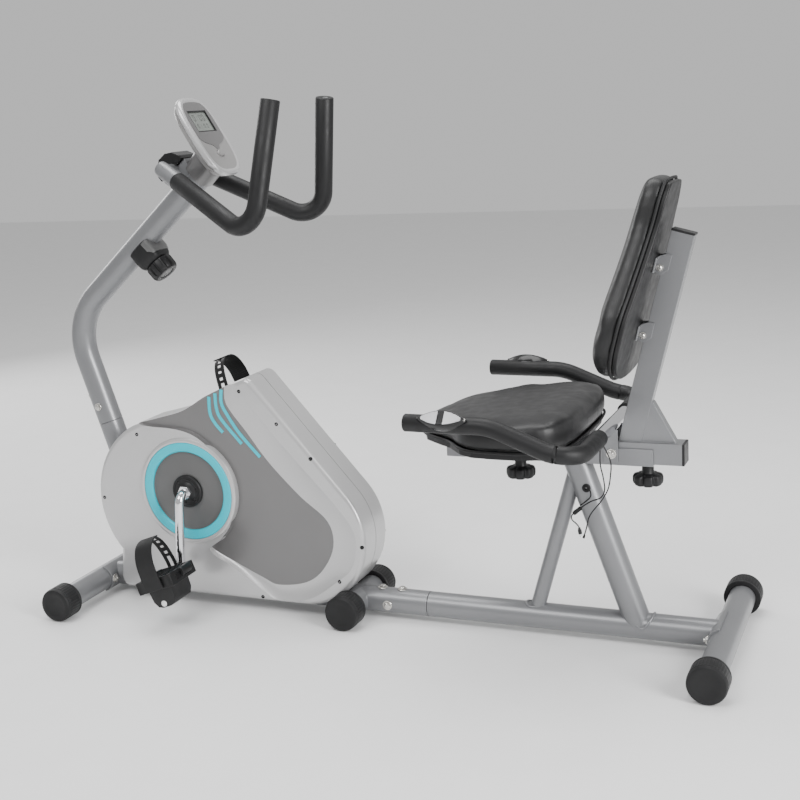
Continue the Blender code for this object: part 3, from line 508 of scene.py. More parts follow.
def foot_cap(name, x, side, outer, node):
    """A ribbed rubber end cap, a shallow dish in its face."""
    length = 0.045
    rows = [(0, length - 0.0016), (0.02, length - 0.0016), (0.0225, length - 0.0004), (0.03, length),
        (0.0328, length - 0.0012), (0.0345, length - 0.0042), (0.0349, length - 0.0075),
        (0.0341, length - 0.0085), (0.0341, length - 0.0095), (0.035, length - 0.0105), (0.035, 0.0075),
        (0.0342, 0.0065), (0.0342, 0.0055), (0.035, 0.0045), (0.035, 0.0012), (0.034, 0.0), (0.0255, 0.0004)]
    grooves = range(9, 11)
    data = lathe(rows, (x, side * (outer - length), BEAM_Z), (0, side, 0), 144,
        lambda a, row: 1 - 0.018 * (math.cos(a * 36) > 0.2) if row in grooves else 1)
    return piece(name, data, RUBBER, "root", node, sharp=28)


def saddle(name, x, facing):
    """The curved plate between a beam's end and its cross tube."""
    rows = [[Vector((x + facing * (u - x), y, v)) for u, v in arc((x, BEAM_Z), TUBE_R + 0.0038, -76, 76,
        26) + arc((x, BEAM_Z), TUBE_R - 0.001, 76, -76, 26)] for y in (-0.047, 0.047)]
    return piece(name, loft(rows), FRAME, "root", edge=0.001, segments=2)


def weld_round(name, at, axis, radius, onto_centre, onto_axis, onto_radius):
    """Weld where one tube lands on another."""
    turn = Z.rotation_difference(Vector(axis).normalized()).to_matrix()
    axis = Vector(axis).normalized()
    line = []
    for k in range(49):
        a = math.tau * k / 48
        p = Vector(at) + turn @ Vector((radius * math.cos(a), radius * math.sin(a), 0))
        for _ in range(12):
            off = p - Vector(onto_centre)
            off -= Vector(onto_axis) * off.dot(Vector(onto_axis))
            p += axis * (onto_radius - off.length) * 0.9
        line.append(p)
    radii = [0.0023 * (1 + 0.15 * math.sin(i * 2.3)) for i in range(len(line))]
    return piece(name, tube(line, radii, 10), FRAME, "root", sharp=80)


cross_tube("front_bar", FRONT_X, 0.204, "front_stabiliser")
cross_tube("rear_bar", REAR_X, 0.218, "rear_stabiliser")
cross_tube("middle_bar", MIDDLE_X, 0.096, ())
piece("front_beam", rod((FRONT_X + 0.01, 0, BEAM_Z), (JOINT_X - 0.0005, 0, BEAM_Z), TUBE_R, 64), FRAME,
    "root", "front_frame", edge=0.0008, segments=2)
piece("rear_beam", rod((JOINT_X + 0.0004, 0, BEAM_Z), (REAR_X - 0.01, 0, BEAM_Z), TUBE_R - 0.0002, 64),
    FRAME, "root", "rear_frame", edge=0.0008, segments=2)
saddle("front_saddle", FRONT_X, 1)
saddle("rear_saddle", REAR_X, -1)
piece("neck_tube", rod(MAST_FOOT - NECK * 0.015, NECK_TOP, TUBE_R, 64), FRAME, "root", edge=0.0008,
    segments=2)
mast_path = bent([NECK_TOP + NECK * 0.0005, MAST_CORNER, on_mast(0.09, 0)], 0.13, 24)
piece("mast_tube", tube(mast_path, TUBE_R, 64), FRAME, "root", "mast", edge=0.0008, segments=2,
    sharp=50)
POST_LOW, POST_HIGH = Vector((0.4999, 0, BEAM_Z)), Vector((0.3896, 0, 0.3462))
post = cut(rod(POST_LOW, POST_HIGH * 1.1 - POST_LOW * 0.1, TUBE_R, 64),
    block((0.3, -0.1, 0.3462), (0.5, 0.1, 0.5)))
piece("post_tube", post, FRAME, "root", "rear_post")
BRACE_LOW, BRACE_HIGH = Vector((0.3007, 0, BEAM_Z)), Vector((0.385, 0, 0.3195))
piece("brace_tube", rod(BRACE_LOW, BRACE_HIGH, 0.014, 48), FRAME, "root", "seat_brace")
weld_round("post_weld", POST_LOW + Z * 0.03, POST_HIGH - POST_LOW, TUBE_R, (0, 0, BEAM_Z), X, TUBE_R)
weld_round("brace_weld", BRACE_LOW + Z * 0.03, BRACE_HIGH - BRACE_LOW, 0.014, (0, 0, BEAM_Z), X, TUBE_R)
weld_round("middle_weld_left", (MIDDLE_X, -0.028, BEAM_Z), -Y, TUBE_R - 0.0015, (0, 0, BEAM_Z), X, TUBE_R)
for prefix, x, outer in (("front", FRONT_X, 0.209), ("middle", MIDDLE_X, 0.101), ("rear", REAR_X, 0.223)):
    for side, word in SIDES:
        foot_cap(f"{prefix}_foot_{word}", x, side, outer, f"{prefix}_cap_{word}")
for side, word in SIDES:
    bolt(f"front_bolt_{word}", (FRONT_X + 0.0282, side * 0.036, BEAM_Z), X, nut=True)
    bolt(f"rear_bolt_{word}", (REAR_X - 0.0282, side * 0.036, BEAM_Z), -X, nut=True)
bolt("beam_bolt_side", (0.0036, -TUBE_R, 0.033), -Y)
bolt("beam_bolt_top", (0.027, 0, BEAM_Z + TUBE_R), Z)
bolt("beam_bolt_top_front", (-0.015, 0, BEAM_Z + TUBE_R), Z)
bolt("mast_bolt_left", MAST_FOOT + NECK * 0.3675 - Y * TUBE_R, -Y, 0.0055)
bolt("mast_bolt_front", MAST_FOOT + NECK * 0.395 + Vector((-NECK.z, 0, NECK.x)) * TUBE_R,
    (-NECK.z, 0, NECK.x), 0.0055)
GROMMET = Vector((0.4124, -TUBE_R + 0.0012, 0.3007))
piece("post_grommet", lathe(mm((1.6, 0.5), (3, 4), (6.2, 3.6), (7.8, 2.2), (8, 0.2), (7, -4)), GROMMET, -Y,
    32), RUBBER, "root")

# Housing ---------------------------------------------------------------------------------------

top_curve = mm((-262, 490.5), (-298, 476.5), (-330, 462), (-363, 446.5), (-415, 417), (-477, 399),
    (-518.8, 388.9))
top_line = eased_flat(top_curve, 8)
HOUSING = resampled([(-0.586, 0.028), (-0.385, 0.028)] + arc((-0.165, 0.17), 0.142, -90, 41.8,
    40) + arc((-0.262, 0.47), 0.02, 45, 95, 8) + top_line[3:] + arc((-0.4586, 0.2235), 0.176, 112, 220,
    40)[1:] + mm((-598.5, 69), (-601, 50), (-599.5, 40), (-594.5, 31.8)), 0.006)
HALF = 0.055
FILLET = 0.01
FLOOR = 0.045
BAND_FROM_X, BAND_BELOW_Z = -0.312, 0.155  # where the recess slopes up as a silver band
recess_floor = mm((-523.6, 405), (-523.6, 390.5), (-486, 385.1), (-446.8, 383.6), (-408.8, 378.1),
    (-374.4, 363.9), (-335, 330), (-315, 290), (-305, 240), (-318, 185), (-345, 150), (-376.8, 132.4),
    (-321.9, 104), (-258, 76.7), (-226.1, 66.5), (-164.8, 77), (-126.5, 106.1), (-102, 159.6), (-114, 209.2),
    (-173.2, 255.6), (-236.1, 319.1), (-276.9, 375.7), (-317.9, 432.5), (-322, 480), (-400, 470))
recess_rim = mm((-524.6, 405), (-524.6, 388.5), (-486, 383.1), (-446.8, 381.6), (-409.8, 376.1),
    (-376.4, 361.9), (-337, 328.5), (-317, 289.5), (-307, 240), (-320, 186), (-347, 151.5), (-372.9, 124.5),
    (-318.5, 91.7), (-265, 54.8), (-218.2, 30), (-150.3, 41.2), (-93.3, 77.9), (-50.6, 115.9), (-40, 180),
    (-70, 233), (-137.7, 308), (-199.3, 375), (-265.1, 452.9), (-300, 500), (-400, 490))


def housing_half(side, word):
    """One moulded shell, its graphite recess sunk in, with holes for the rings, the neck and the beam."""
    rows = [(0.0, 0.0005), (0.0, HALF - FILLET)]
    rows += [(FILLET * (1 - math.cos(a)), HALF - FILLET + FILLET * math.sin(a))
        for a in [math.pi / 2 * k / 6 for k in range(1, 7)]]
    body = loft([[Vector((u, side * y, v)) for u, v in (inset(HOUSING, d) if d else HOUSING)] for d,
        y in rows])
    body.materials.append(SILVER)
    low_loop, high_loop = (eased_flat(loop, 5, closed=True) for loop in (recess_floor, recess_rim))
    dish = [([(a[0] + (b[0] - a[0]) * t, a[1] + (b[1] - a[1]) * t) for a, b in zip(low_loop, high_loop)],
        FLOOR + (HALF + 0.0006 - FLOOR) * rise) for t, rise in ((0, 0), (0.12, 0.02), (0.35, 0.13),
        (0.6, 0.36), (0.82, 0.66), (0.94, 0.86), (1, 1))]
    tool = loft([[Vector((u, side * y, v)) for u, v in loop] for loop,
        y in dish + [(high_loop, HALF + 0.02)]])
    tool.materials.append(GRAPHITE)
    tool.materials.append(SILVER)
    count = len(low_loop)
    for face in tool.polygons:
        on_band = face.center.x > BAND_FROM_X or face.center.z < BAND_BELOW_Z
        sloping = count <= face.index < count * len(dish)
        face.material_index = 1 if on_band and sloping else 0
    ring_bore = rod(CRANK + Y * side * 0.044, CRANK + Y * side * 0.08, 0.1105, 128)
    neck_bore = rod(MAST_FOOT - NECK * 0.1, NECK_TOP + NECK * 0.1, TUBE_R + 0.001, 48)
    beam_bore = rod((-0.7, 0, BEAM_Z), (0.0, 0, BEAM_Z), TUBE_R + 0.001, 48)
    data = cut(body, tool, ring_bore, neck_bore, beam_bore)
    bm = bmesh.new()
    bm.from_mesh(data)
    inner = [f for f in bm.faces if all(abs(v.co.y) < 0.0008 for v in f.verts)]
    bmesh.ops.delete(bm, geom=inner, context="FACES")
    bm.to_mesh(data)
    bm.free()
    return flattened(piece(f"housing_shell_{word}", data, None, "root", f"housing_{word}",
        sharp=35))


SCREWS = mm((-196.4, 401), (-127.9, 334), (-30, 160.5), (-83, 85), (-259, 36.5), (-523.8, 365),
    (-621, 223.6), (-274.4, 464))
STRIPES = [mm((-320.1, 464), (-322.2, 436.6), (-310.6, 411.9), (-286.2, 375.3), (-244.3, 329.1)),
    mm((-335, 456), (-334.8, 427.7), (-325.5, 402.9), (-283.6, 354.4)),
    mm((-350, 448.5), (-350.2, 414.5), (-340.5, 393.9), (-324.6, 376))]
for side, word in SIDES:
    housing_half(side, word)
    for n, (x, z) in enumerate(SCREWS):
        screw(f"housing_screw_{word}_{n}", (x, side * (HALF - 0.0006), z), (0, side, 0))
    for n, stripe in enumerate(STRIPES):
        line = eased([(x, 0, z) for x, z in stripe], 8)
        runs = [(b - a).normalized() for a, b in zip(line, line[1:])]
        runs.append(runs[-1])
        edges = [[(p + Vector((-t.z, 0, t.x)) * w) for p, t in zip(line, runs)] for w in (-0.0034, 0.0034)]
        outline = [(p.x, p.z) for p in edges[0] + edges[1][::-1]]
        low, high = sorted((side * (FLOOR - 0.001), side * (FLOOR + 0.0007)))
        piece(f"stripe_{word}_{n}", plate(outline, low, high), CYAN, "root")
    at = CRANK + Y * side * 0.0465
    out = (0, side, 0)
    piece(f"ring_band_{word}", ring_lathe(mm((111.8, -2), (111.8, 9), (110.8, 11.5), (108, 13), (104, 13.2),
        (102.6, 12.5), (102.4, 0)), at, out, 160), SILVER, "root", f"ring_{word}", sharp=30)
    piece(f"ring_blue_{word}", ring_lathe(mm((102.2, 0), (102.2, 11.8), (100.8, 13.2), (93, 14), (85, 12.8),
        (82.8, 10.8), (82.6, 0)), at, out, 160), CYAN, "root", sharp=30)
    piece(f"ring_dish_{word}", ring_lathe(mm((82.4, 0), (82.4, 8), (80, 6.6), (56, 7.5), (36, 9), (34, 9.2),
        (13, 9.2), (13, 0)), at, out, 160), DISH, "root", sharp=30)
    hub_rows = mm((34, 0), (34, 4.5), (32.5, 6.2), (29, 6.6), (27, 5.2), (20, 5.8), (15, 9.5), (11.8, 10.5),
        (10, 10.5), (10, 0))
    piece(f"hub_disc_{word}", ring_lathe(hub_rows, CRANK + Y * side * 0.0562, out, 72), PLASTIC, "crank_set",
        f"hub_cover_{word}", sharp=30)
    for k in range(6):
        a = math.tau * k / 6 + 0.3
        spot = CRANK + Y * side * 0.0615 + Vector((0.0235 * math.cos(a), 0, 0.0235 * math.sin(a)))
        screw(f"hub_screw_{word}_{k}", spot, out, 0.0024, GLOSS, "crank_set")

# Crank, pedals and straps ----------------------------------------------------------------------

PEDALS = {"left": CRANK + ARM, "right": CRANK - ARM}
PEDAL_TILT = Matrix.Rotation(math.radians(-20), 4, "Y")
arm_run = bent([PEDALS["left"] - Y * 0.1, CRANK - Y * 0.09, CRANK + Y * 0.09, PEDALS["right"] + Y * 0.1],
    0.018, 14)
thick = [0.0085 + 0.0012 * min(1, abs((p - CRANK).length / 0.15)) for p in arm_run]
crank_shapes = [tube(arm_run, thick, 36)]
for side, word in SIDES:
    axle = PEDALS[word]
    crank_shapes.append(lathe(mm((0, 17), (6, 17), (6.2, 16.5), (11.5, 16.5), (12.8, 15.2), (12.8, 1),
        (11.5, 0), (0, 0)), axle + Y * side * 0.092, (0, side, 0), 40))
    crank_shapes.append(rod(axle + Y * side * 0.1, axle + Y * side * 0.19, 0.0058, 24))
    crank_shapes.append(lathe(mm((9.8, 5.5), (15, 5.5), (15.2, 4.5), (15.2, 0), (9.8, 0)),
        CRANK + Y * side * 0.0668, (0, side, 0), 6))
piece("crank_arms", merged(*crank_shapes), CHROME, "crank_set", "crank", sharp=40)

for side, word in SIDES:
    axle = PEDALS[word]
    body = f"{word}_pedal"
    place = Matrix.Translation(axle) @ PEDAL_TILT
    tilt = place @ Matrix.Translation(-axle)

    def bar(x0, x1, y0, y1, z0, z1):
        low, high = sorted((side * y0, side * y1))
        return block((x0, low, z0), (x1, high, z1), place)

    parts = [bar(x, x + 0.01, 0.1125, 0.1975, -0.0125, 0.013) for x in (-0.0435, 0.0335)]
    parts += [bar(-0.043, 0.043, y, y + 0.005, -0.012, 0.0125) for y in (0.1125, 0.1925)]
    parts += [bar(-0.043, 0.043, y, y + 0.004, -0.01, 0.0105) for y in (0.126, 0.18)]
    parts += [bar(-0.0235 + k * 0.0105, -0.0205 + k * 0.0105, 0.114, 0.196, -0.0085, 0.0118)
        for k in range(5)]
    parts.append(rod(axle + Y * side * 0.113, axle + Y * side * 0.197, 0.0105, 36))
    hump = [(axle.x - 0.03, axle.z - 0.005), (axle.x + 0.03, axle.z - 0.005),
        (axle.x + 0.027, axle.z - 0.036), (axle.x + 0.02, axle.z - 0.048), (axle.x + 0.01, axle.z - 0.0512),
        (axle.x - 0.01, axle.z - 0.0512), (axle.x - 0.02, axle.z - 0.048), (axle.x - 0.027, axle.z - 0.036)]
    parts.append(rod(place @ Vector((0.0405, side * 0.126, 0.004)),
        place @ Vector((0.0405, side * 0.162, 0.004)), 0.0095))
    stud = lathe(mm((0, 2.2), (4.5, 2.1), (6.2, 1), (6.4, -1)),
        place @ Vector((-0.004, side * 0.186, -0.043)), (0, side, 0), 36)
    piece(f"pedal_stud_{word}", stud, WHITE, body)
    parts.append(plate(hump, *sorted((side * 0.1245, side * 0.186)), matrix=tilt))
    piece(f"pedal_body_{word}", merged(*parts), PLASTIC, body, f"pedal_{word}", edge=0.0012,
        segments=2)
    for facing in (-1, 1):
        face = axle + Vector((facing * 0.0436, side * 0.155, 0))
        shape = plate([(side * (0.155 + u), axle.z + v) for u,
            v in ((-0.024, -0.006), (0.024, -0.006), (0.026, 0), (0.024, 0.006), (-0.024, 0.006),
            (-0.026, 0))], *sorted((face.x - facing * 0.001, face.x + facing * 0.001)), "X", tilt)
        piece(f"pedal_reflector_{word}_{'front' if facing < 0 else 'rear'}", shape, GLOSS, body,
            edge=0.0005)
    piece(f"pedal_cap_{word}", lathe(mm((0, 2.2), (6, 1.8), (7.8, 0.2), (7.8, -1)), axle + Y * side * 0.1972,
        (0, side, 0), 32), GLOSS, body)
    outer = mm((201.2, -10), (202.2, 6), (202.4, 24), (198.5, 52), (186, 74), (170, 84.5), (155, 86.8))
    inner = mm((165, 85), (148, 83), (135, 71), (126.5, 52), (121.5, 30), (120, 13.5))
    for part, route, half, wall in (("wide", outer, 0.021, 0.0024), ("slotted", inner, 0.012, 0.0018)):
        line = eased([(0, u, v) for u, v in route], 6)
        rings = []
        for p, q in zip(line, line[1:] + [line[-1] * 2 - line[-2]]):
            run = (q - p).normalized()
            up = Vector((0, -run.z, run.y)) * wall / 2
            rings.append([axle + Vector((x, side * (p.y + k * up.y), p.z + k * up.z)) for x,
                k in ((-half, -1), (half, -1), (half, 1), (-half, 1))])
        data = loft(rings)
        if part == "slotted":
            holes = []
            for k in range(7):
                p = line[4 + k * 4]
                spot = axle + Vector((0, side * p.y, p.z))
                turn = Matrix.Rotation(-side * (1.35 - k * 0.22) + side * math.pi / 2, 4, "X")
                holes.append(block((-0.0045, -0.006, -0.0015), (0.0045, 0.006, 0.0015),
                    Matrix.Translation(spot) @ turn))
            data = cut(data, *holes)
        data.transform(tilt)
        piece(f"strap_{part}_{word}", data, RUBBER, body, f"strap_{word}" if part == "wide" else (),
            edge=0.0004, segments=2, sharp=50)
    ribs = []
    line = eased([(0, u, v) for u, v in outer], 6)
    for k in range(3, len(line) - 1):
        p, run = line[k], (line[k + 1] - line[k]).normalized()
        turn = Matrix.Rotation(side * math.atan2(run.z, run.y), 4, "X")
        ribs.append(block((-0.0185, -0.0007, 0.0), (0.0185, 0.0007, 0.0016),
            Matrix.Translation(axle + Vector((0, side * p.y, p.z))) @ turn))
    ribs = merged(*ribs)
    ribs.transform(tilt)
    piece(f"strap_ribs_{word}", ribs, RUBBER, body, sharp=50)

# Upper hand bar --------------------------------------------------------------------------------

bar_half = [(0.054, CLAMP), (0.147, Vector((-0.164, 0, 0.769))), (0.111, Vector((-0.125, 0, 1.0165)))]
bar_corners = [Vector((p.x, -y, p.z)) for y, p in reversed(bar_half)] + [Vector((p.x, y, p.z)) for y,
    p in bar_half]
piece("bar_tube", tube(bent(bar_corners, [0.046, 0.03, 0.03, 0.046], 14), 0.0127, 40), FRAME, "handlebar",
    "handlebar_tube", sharp=60)
for side, word in SIDES:
    leg, low, top = [Vector((p.x, side * y, p.z)) for y, p in bar_half]
    grip_path = bent([leg.lerp(low, 0.15), low, top], 0.046, 20)
    head, tail = (grip_path[1] - grip_path[0]).normalized(), (grip_path[-1] - grip_path[-2]).normalized()
    grip_path = [grip_path[0],
        grip_path[0] + head * 0.0015] + grip_path[1:-1] + [grip_path[-1] - tail * 0.0015, grip_path[-1]]
    radii = [0.0168] + [0.018] * (len(grip_path) - 2) + [0.0168]
    piece(f"grip_foam_{word}", tube(grip_path, radii, 48), FOAM, "handlebar", f"grip_{word}",
        sharp=50)
    sleeve = [leg - (low - leg).normalized() * 0.012, leg.lerp(low, 0.02), leg.lerp(low, 0.145),
        leg.lerp(low, 0.15)]
    piece(f"bar_sleeve_{word}", tube(sleeve, [0.015, 0.0166, 0.0166, 0.014], 40), FRAME, "handlebar",
        sharp=50)
    piece(f"grip_plug_{word}", lathe(mm((0, 1.2), (7, 1.2), (11.8, 1.6), (13.8, 0.6), (14, -2)),
        top - tail * 0.0012, tail, 36), PLASTIC, "handlebar")

# Clamp and console -----------------------------------------------------------------------------

CLAMP_FRAME = placed(MAST_MARK, MAST_UP, Y, MAST_OUT)
CLAMP_R = 0.0335
half_disc = [(0.046 + CLAMP_R * math.cos(a), 0.0395 + CLAMP_R * math.sin(a))
    for a in [math.pi + math.pi * k / 24 for k in range(25)]]
piece("clamp_bracket", plate(half_disc, -0.0225, 0.0225, matrix=CLAMP_FRAME), FRAME, "root",
    "handlebar_clamp", edge=0.0012)
cover_rows = []
for k in range(37):
    a = math.pi * k / 36
    reach = CLAMP_R + 0.0011 * (k % 6 in (2, 3))
    cover_rows.append((0.046 + reach * math.cos(a), 0.0405 + reach * math.sin(a)))
piece("clamp_shell", plate(cover_rows, -0.0295, 0.0295, matrix=CLAMP_FRAME), GLOSS, "root",
    "clamp_cover", edge=0.0015, sharp=50)
for side, word in SIDES:
    bolt(f"clamp_bolt_{word}", on_mast(0.02, 0.0405, side * 0.012), MAST_OUT, 0.0045)


def squircle(half_w, half_h, power=0.62, count=96):
    """A rectangle's outline with full, rounded corners; a power of 1 makes it an ellipse."""
    return [(half_w * math.copysign(abs(math.cos(a)) ** power, math.cos(a)),
        half_h * math.copysign(abs(math.sin(a)) ** power, math.sin(a)))
        for a in [math.tau * k / count for k in range(count)]]


def slab(rows, matrix, power=0.62):
    """A rounded slab from (half width, half height, depth) rows."""
    data = loft([[Vector((u, v, d)) for u, v in squircle(w, h, power)] for w, h, d in rows])
    data.transform(matrix)
    return data


bezel = slab(mm((50, 78, -13), (55.5, 83.5, -12.5), (57.8, 85.8, -10), (58, 86, -7), (57.4, 85.4, -3.5),
    (55.5, 83.5, -1), (52.5, 80.5, 0), (49, 77, -0.4), (47.6, 75.6, -1.4)), CONSOLE)
WINDOW = (0.034, 0.008, 0.055)  # half width, foot and top of the display's opening
BUTTON = CONSOLE @ Matrix.Translation((0, -0.04, 0))
PANEL_DEPTH = -0.0014
window_cut = block((-WINDOW[0], WINDOW[1], -0.0052), (WINDOW[0], WINDOW[2], 0.01), CONSOLE)
button_cut = plate(squircle(0.0128, 0.0078, 0.9, 40), -0.0068, 0.01, "Z", BUTTON)
bezel_piece = flattened(piece("bezel", cut(bezel, window_cut, button_cut), SILVER, "root",
    "console_bezel", sharp=40))
bezel_piece.data.materials.append(SATIN)
shield = mm((-45.5, 60), (-40, 68), (-24, 72.5), (0, 73.8), (24, 72.5), (40, 68), (45.5, 60), (46.2, 10),
    (44, -6), (30, -16), (12, -22), (6, -29), (0, -30.5), (-6, -29), (-12, -22), (-30, -16), (-44, -6),
    (-46.2, 10))
shield_line = eased_flat(shield, 5, closed=True)
for face in bezel_piece.data.polygons:
    flat = CONSOLE.inverted() @ face.center
    if abs(flat.z - PANEL_DEPTH) < 0.0001 and face.normal.dot(CONSOLE.to_3x3() @ Z) > 0.9:
        face.material_index = 1
facing = cut(plate(shield_line, -0.0016, -0.0006, "Z", CONSOLE), window_cut.copy())
piece("console_panel", facing, GRAPHITE, "root", sharp=40)
frame_loop = plate([(-WINDOW[0], WINDOW[1]), (WINDOW[0], WINDOW[1]), (WINDOW[0], WINDOW[2]),
    (-WINDOW[0], WINDOW[2])], -0.005, -0.0012, "Z", CONSOLE)
frame_hole = block((-0.0315, 0.0105, -0.01), (0.0315, 0.0525, 0.01), CONSOLE)
piece("window_frame", cut(frame_loop, frame_hole), GLOSS, "root", sharp=40)
piece("window_glass", block((-0.0316, 0.0104, -0.005), (0.0316, 0.0526, -0.0036), CONSOLE), SCREEN, "root",
    "console_lens")
# A nought's strokes: centre across and up, in units of its size, and whether it lies flat
ZERO = [(0, 1, 1), (0.5, 0.5, 0), (0.5, -0.5, 0), (0, -1, 1), (-0.5, -0.5, 0), (-0.5, 0.5, 0)]
digits = []
for size, height in ((0.0062, 0.0405), (0.004, 0.0225)):
    for column, mark in enumerate("0:00"):
        x = -0.0165 + column * 0.011
        if mark == ":":
            strokes = [(x, height + dot * size, 0.0005, 0.0005) for dot in (-0.35, 0.35)]
        else:
            strokes = [(x + u * size, height + v * size, *((size * 0.4, size * 0.1) if flat
                else (size * 0.1, size * 0.42))) for u, v, flat in ZERO]
        digits += [block((u - half_u, v - half_v, -0.00355), (u + half_u, v + half_v, -0.00345), CONSOLE)
            for u, v, half_u, half_v in strokes]
piece("digits", merged(*digits), INK, "root")
piece("mode_button", slab(mm((11.8, 6.8, -4), (12, 7, 0.4), (11.2, 6.2, 1.6), (9, 4.2, 1.9)), BUTTON, 0.9),
    SATIN, "button", "console_button", sharp=40)
rear_shell = slab(mm((30, 50, -28), (42, 68, -27.2), (49, 76.5, -24), (53.5, 81.5, -18),
    (54.8, 82.8, -13.4)), CONSOLE)
neck_rings = []
for along_mast, out, half_w, half_n in ((0.069, 0.002, 0.0285, 0.0285), (0.07, 0.002, 0.0295, 0.0295),
        (0.085, 0.003, 0.03, 0.0305), (0.1, 0.004, 0.0315, 0.032), (0.112, 0.006, 0.0345, 0.0345),
        (0.123, 0.01, 0.04, 0.037)):
    neck_rings.append([on_mast(along_mast + (0.006 * (v / half_n) if along_mast > 0.11 else 0), out + v, u)
        for u, v in squircle(half_w, half_n, 0.8, 64)])
piece("console_rear", rear_shell, SATIN, "root", "console_back", sharp=40)
piece("console_neck", loft(neck_rings), GRAPHITE, "root", sharp=40)

# Tension control -------------------------------------------------------------------------------

mast_bore = rod(on_mast(-0.3, 0), on_mast(0, 0), 0.0252, 64)
box_rows = mm((25.5, -6), (28.5, -8.5), (29, -30), (27.5, -44), (24, -50), (20, -52.2))
box_rings = [[MAST_FRAME @ Vector((-0.1285 + u, v, n)) for u, v in squircle(w, w + 0.0015, 0.45, 64)] for w,
    n in box_rows]
tension = cut(loft(box_rings), mast_bore)
piece("tension_housing", tension, PLASTIC, "root", "tension_box", sharp=35)
lid_rings = [[MAST_FRAME @ Vector((-0.109 + u, v, n)) for u, v in squircle(w, 0.0285 * w / 0.0105, 0.5, 48)]
    for w, n in ((0.0105, -0.009), (0.0112, -0.01), (0.0112, -0.03), (0.0098, -0.04))]
piece("tension_saddle", cut(loft(lid_rings), rod(on_mast(-0.3, 0), on_mast(0, 0), 0.0253, 64)), DISH, "root",
    sharp=35)
KNOB_AT = on_mast(-0.128, -0.0525)
knob = lathe(mm((0, 26.2), (14, 26.2), (15, 27.6), (20, 28.3), (23.8, 27.8), (26.4, 25.5), (28.2, 21.5),
    (28.7, 4), (28, 0.8), (26, 0)), KNOB_AT, -MAST_OUT, 192,
    lambda a, row: 1 - 0.085 * (math.cos(a * 12) < -0.45) if row in (5, 6, 7) else 1)
piece("tension_dial", knob, PLASTIC, "tension", "tension_knob", sharp=28)
piece("dial_disc", lathe(mm((0, 27.3), (10, 27.2), (12.8, 26.8), (13.6, 26)), KNOB_AT, -MAST_OUT, 64), DISH,
    "tension")
dial_turn = Z.rotation_difference(-MAST_OUT).to_matrix().to_4x4()
marks = [block((0.0155, -0.0004, 0.028), (0.0195, 0.0004, 0.0288),
    Matrix.Translation(KNOB_AT) @ dial_turn @ Matrix.Rotation(math.radians(-40 + 45 * k), 4, "Z"))
    for k in range(8)]
piece("dial_marks", merged(*marks), SATIN, "tension")
piece("dial_pointer", plate([(0.0118, 0), (0.003, 0.0022), (0.003, -0.0022)], 0.027, 0.0277, "Z",
    Matrix.Translation(KNOB_AT) @ dial_turn), GLOSS, "tension")

# Rail, carriages and clamp knobs ---------------------------------------------------------------

rail = cut(block((0.145, -0.0235, 0.3465), (0.534, 0.0235, 0.378)),
    block((0.1, -0.0205, 0.3495), (0.6, 0.0205, 0.5)))
piece("rail_channel", rail, FRAME, "root", "seat_rail", edge=0.001, segments=2)
for node, look_of in (("seat_carriage", FRAME), ("inner_frame", FRAME), ("flywheel", STEEL),
        ("drive_pulley", PLASTIC), ("drive_belt", RUBBER), ("magnet_bracket", ZINC), ("seat_board", PLASTIC)):
    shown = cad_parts[node]
    shown.data.materials.clear()
    shown.data.materials.append(look_of)
back_metal = solid_result(block((0.375, -0.02, 0.35), (0.585, 0.02, 0.3885)),
    [("UNION", block((0, -0.0125, 0.0), (0.04, 0.0125, 0.391), BACK)),
    ("UNION", plate(mm((500, 387.5), (573, 387.5), (533, 459), (531.5, 461), (515, 461)), -0.0105, 0.0105))])
piece("back_post", back_metal, FRAME, "back", "back_frame", edge=0.0018)
piece("post_cap", block((-0.0008, -0.0133, 0.389), (0.0408, 0.0133, 0.3935), BACK), PLASTIC, "back",
    edge=0.0016)
piece("carriage_cap", block((0.5835, -0.0204, 0.3496), (0.5885, 0.0204, 0.3889)), PLASTIC, "back",
    edge=0.0016)
piece("seat_carriage_cap", block((0.147, -0.0196, 0.3504), (0.151, 0.0196, 0.3881)), PLASTIC, "seat",
    edge=0.0016)
for n, height in enumerate((0.208, 0.33)):
    lug = [(-0.0115, height + 0.011), (0.002, height + 0.019), (0.012, height + 0.019),
        (0.012, height - 0.008), (0.000, height - 0.02), (-0.0115, height - 0.017)]
    tab = merged(block((-0.0121, -0.03, height - 0.016), (-0.0093, 0.03, height + 0.01), BACK),
        *[plate(lug, *sorted((side * 0.0127, side * 0.0153)), "Y", BACK) for side in (-1, 1)])
    piece(f"back_tab_{n}", tab, FRAME, "back", edge=0.0008, segments=2)
    for side, word in SIDES:
        bolt(f"back_bolt_{n}_{word}", BACK @ Vector((-0.003, side * 0.0153, height - 0.007)),
            BACK.to_3x3() @ (Y * side), 0.0042, "back")
KNOB_ROWS = mm((0, 0), (10, 0), (11, 1.2), (23.5, 1.2), (26.2, 3.5), (27.2, 8), (27.2, 15), (25.8, 19),
    (22, 20.8), (11.8, 22.5), (10.8, 24.5), (10.5, 38.5), (0, 38.5))
for word, x in (("seat", 0.282), ("back", 0.5196)):
    data = lathe(KNOB_ROWS, (x, 0, 0.307), Z, 144, lambda a, row: 1 - 0.17 * max(0, math.cos(a * 7)) ** 1.6
        if 3 <= row <= 8 else 1)
    piece(f"{word}_clamp_knob", data, PLASTIC, f"{word}_clamp", f"{word}_knob", sharp=40)
    piece(f"{word}_clamp_screw", rod((x, 0, 0.34), (x, 0, 0.3496), 0.0056, 24), ZINC, f"{word}_clamp")

# Cushions --------------------------------------------------------------------------------------

VOXEL, MOST_SWELL, PRESSURE = 0.006, 0.0045, 3.0
STIFFNESS, BENDING, SIM_FRAMES = 40, 12, 20


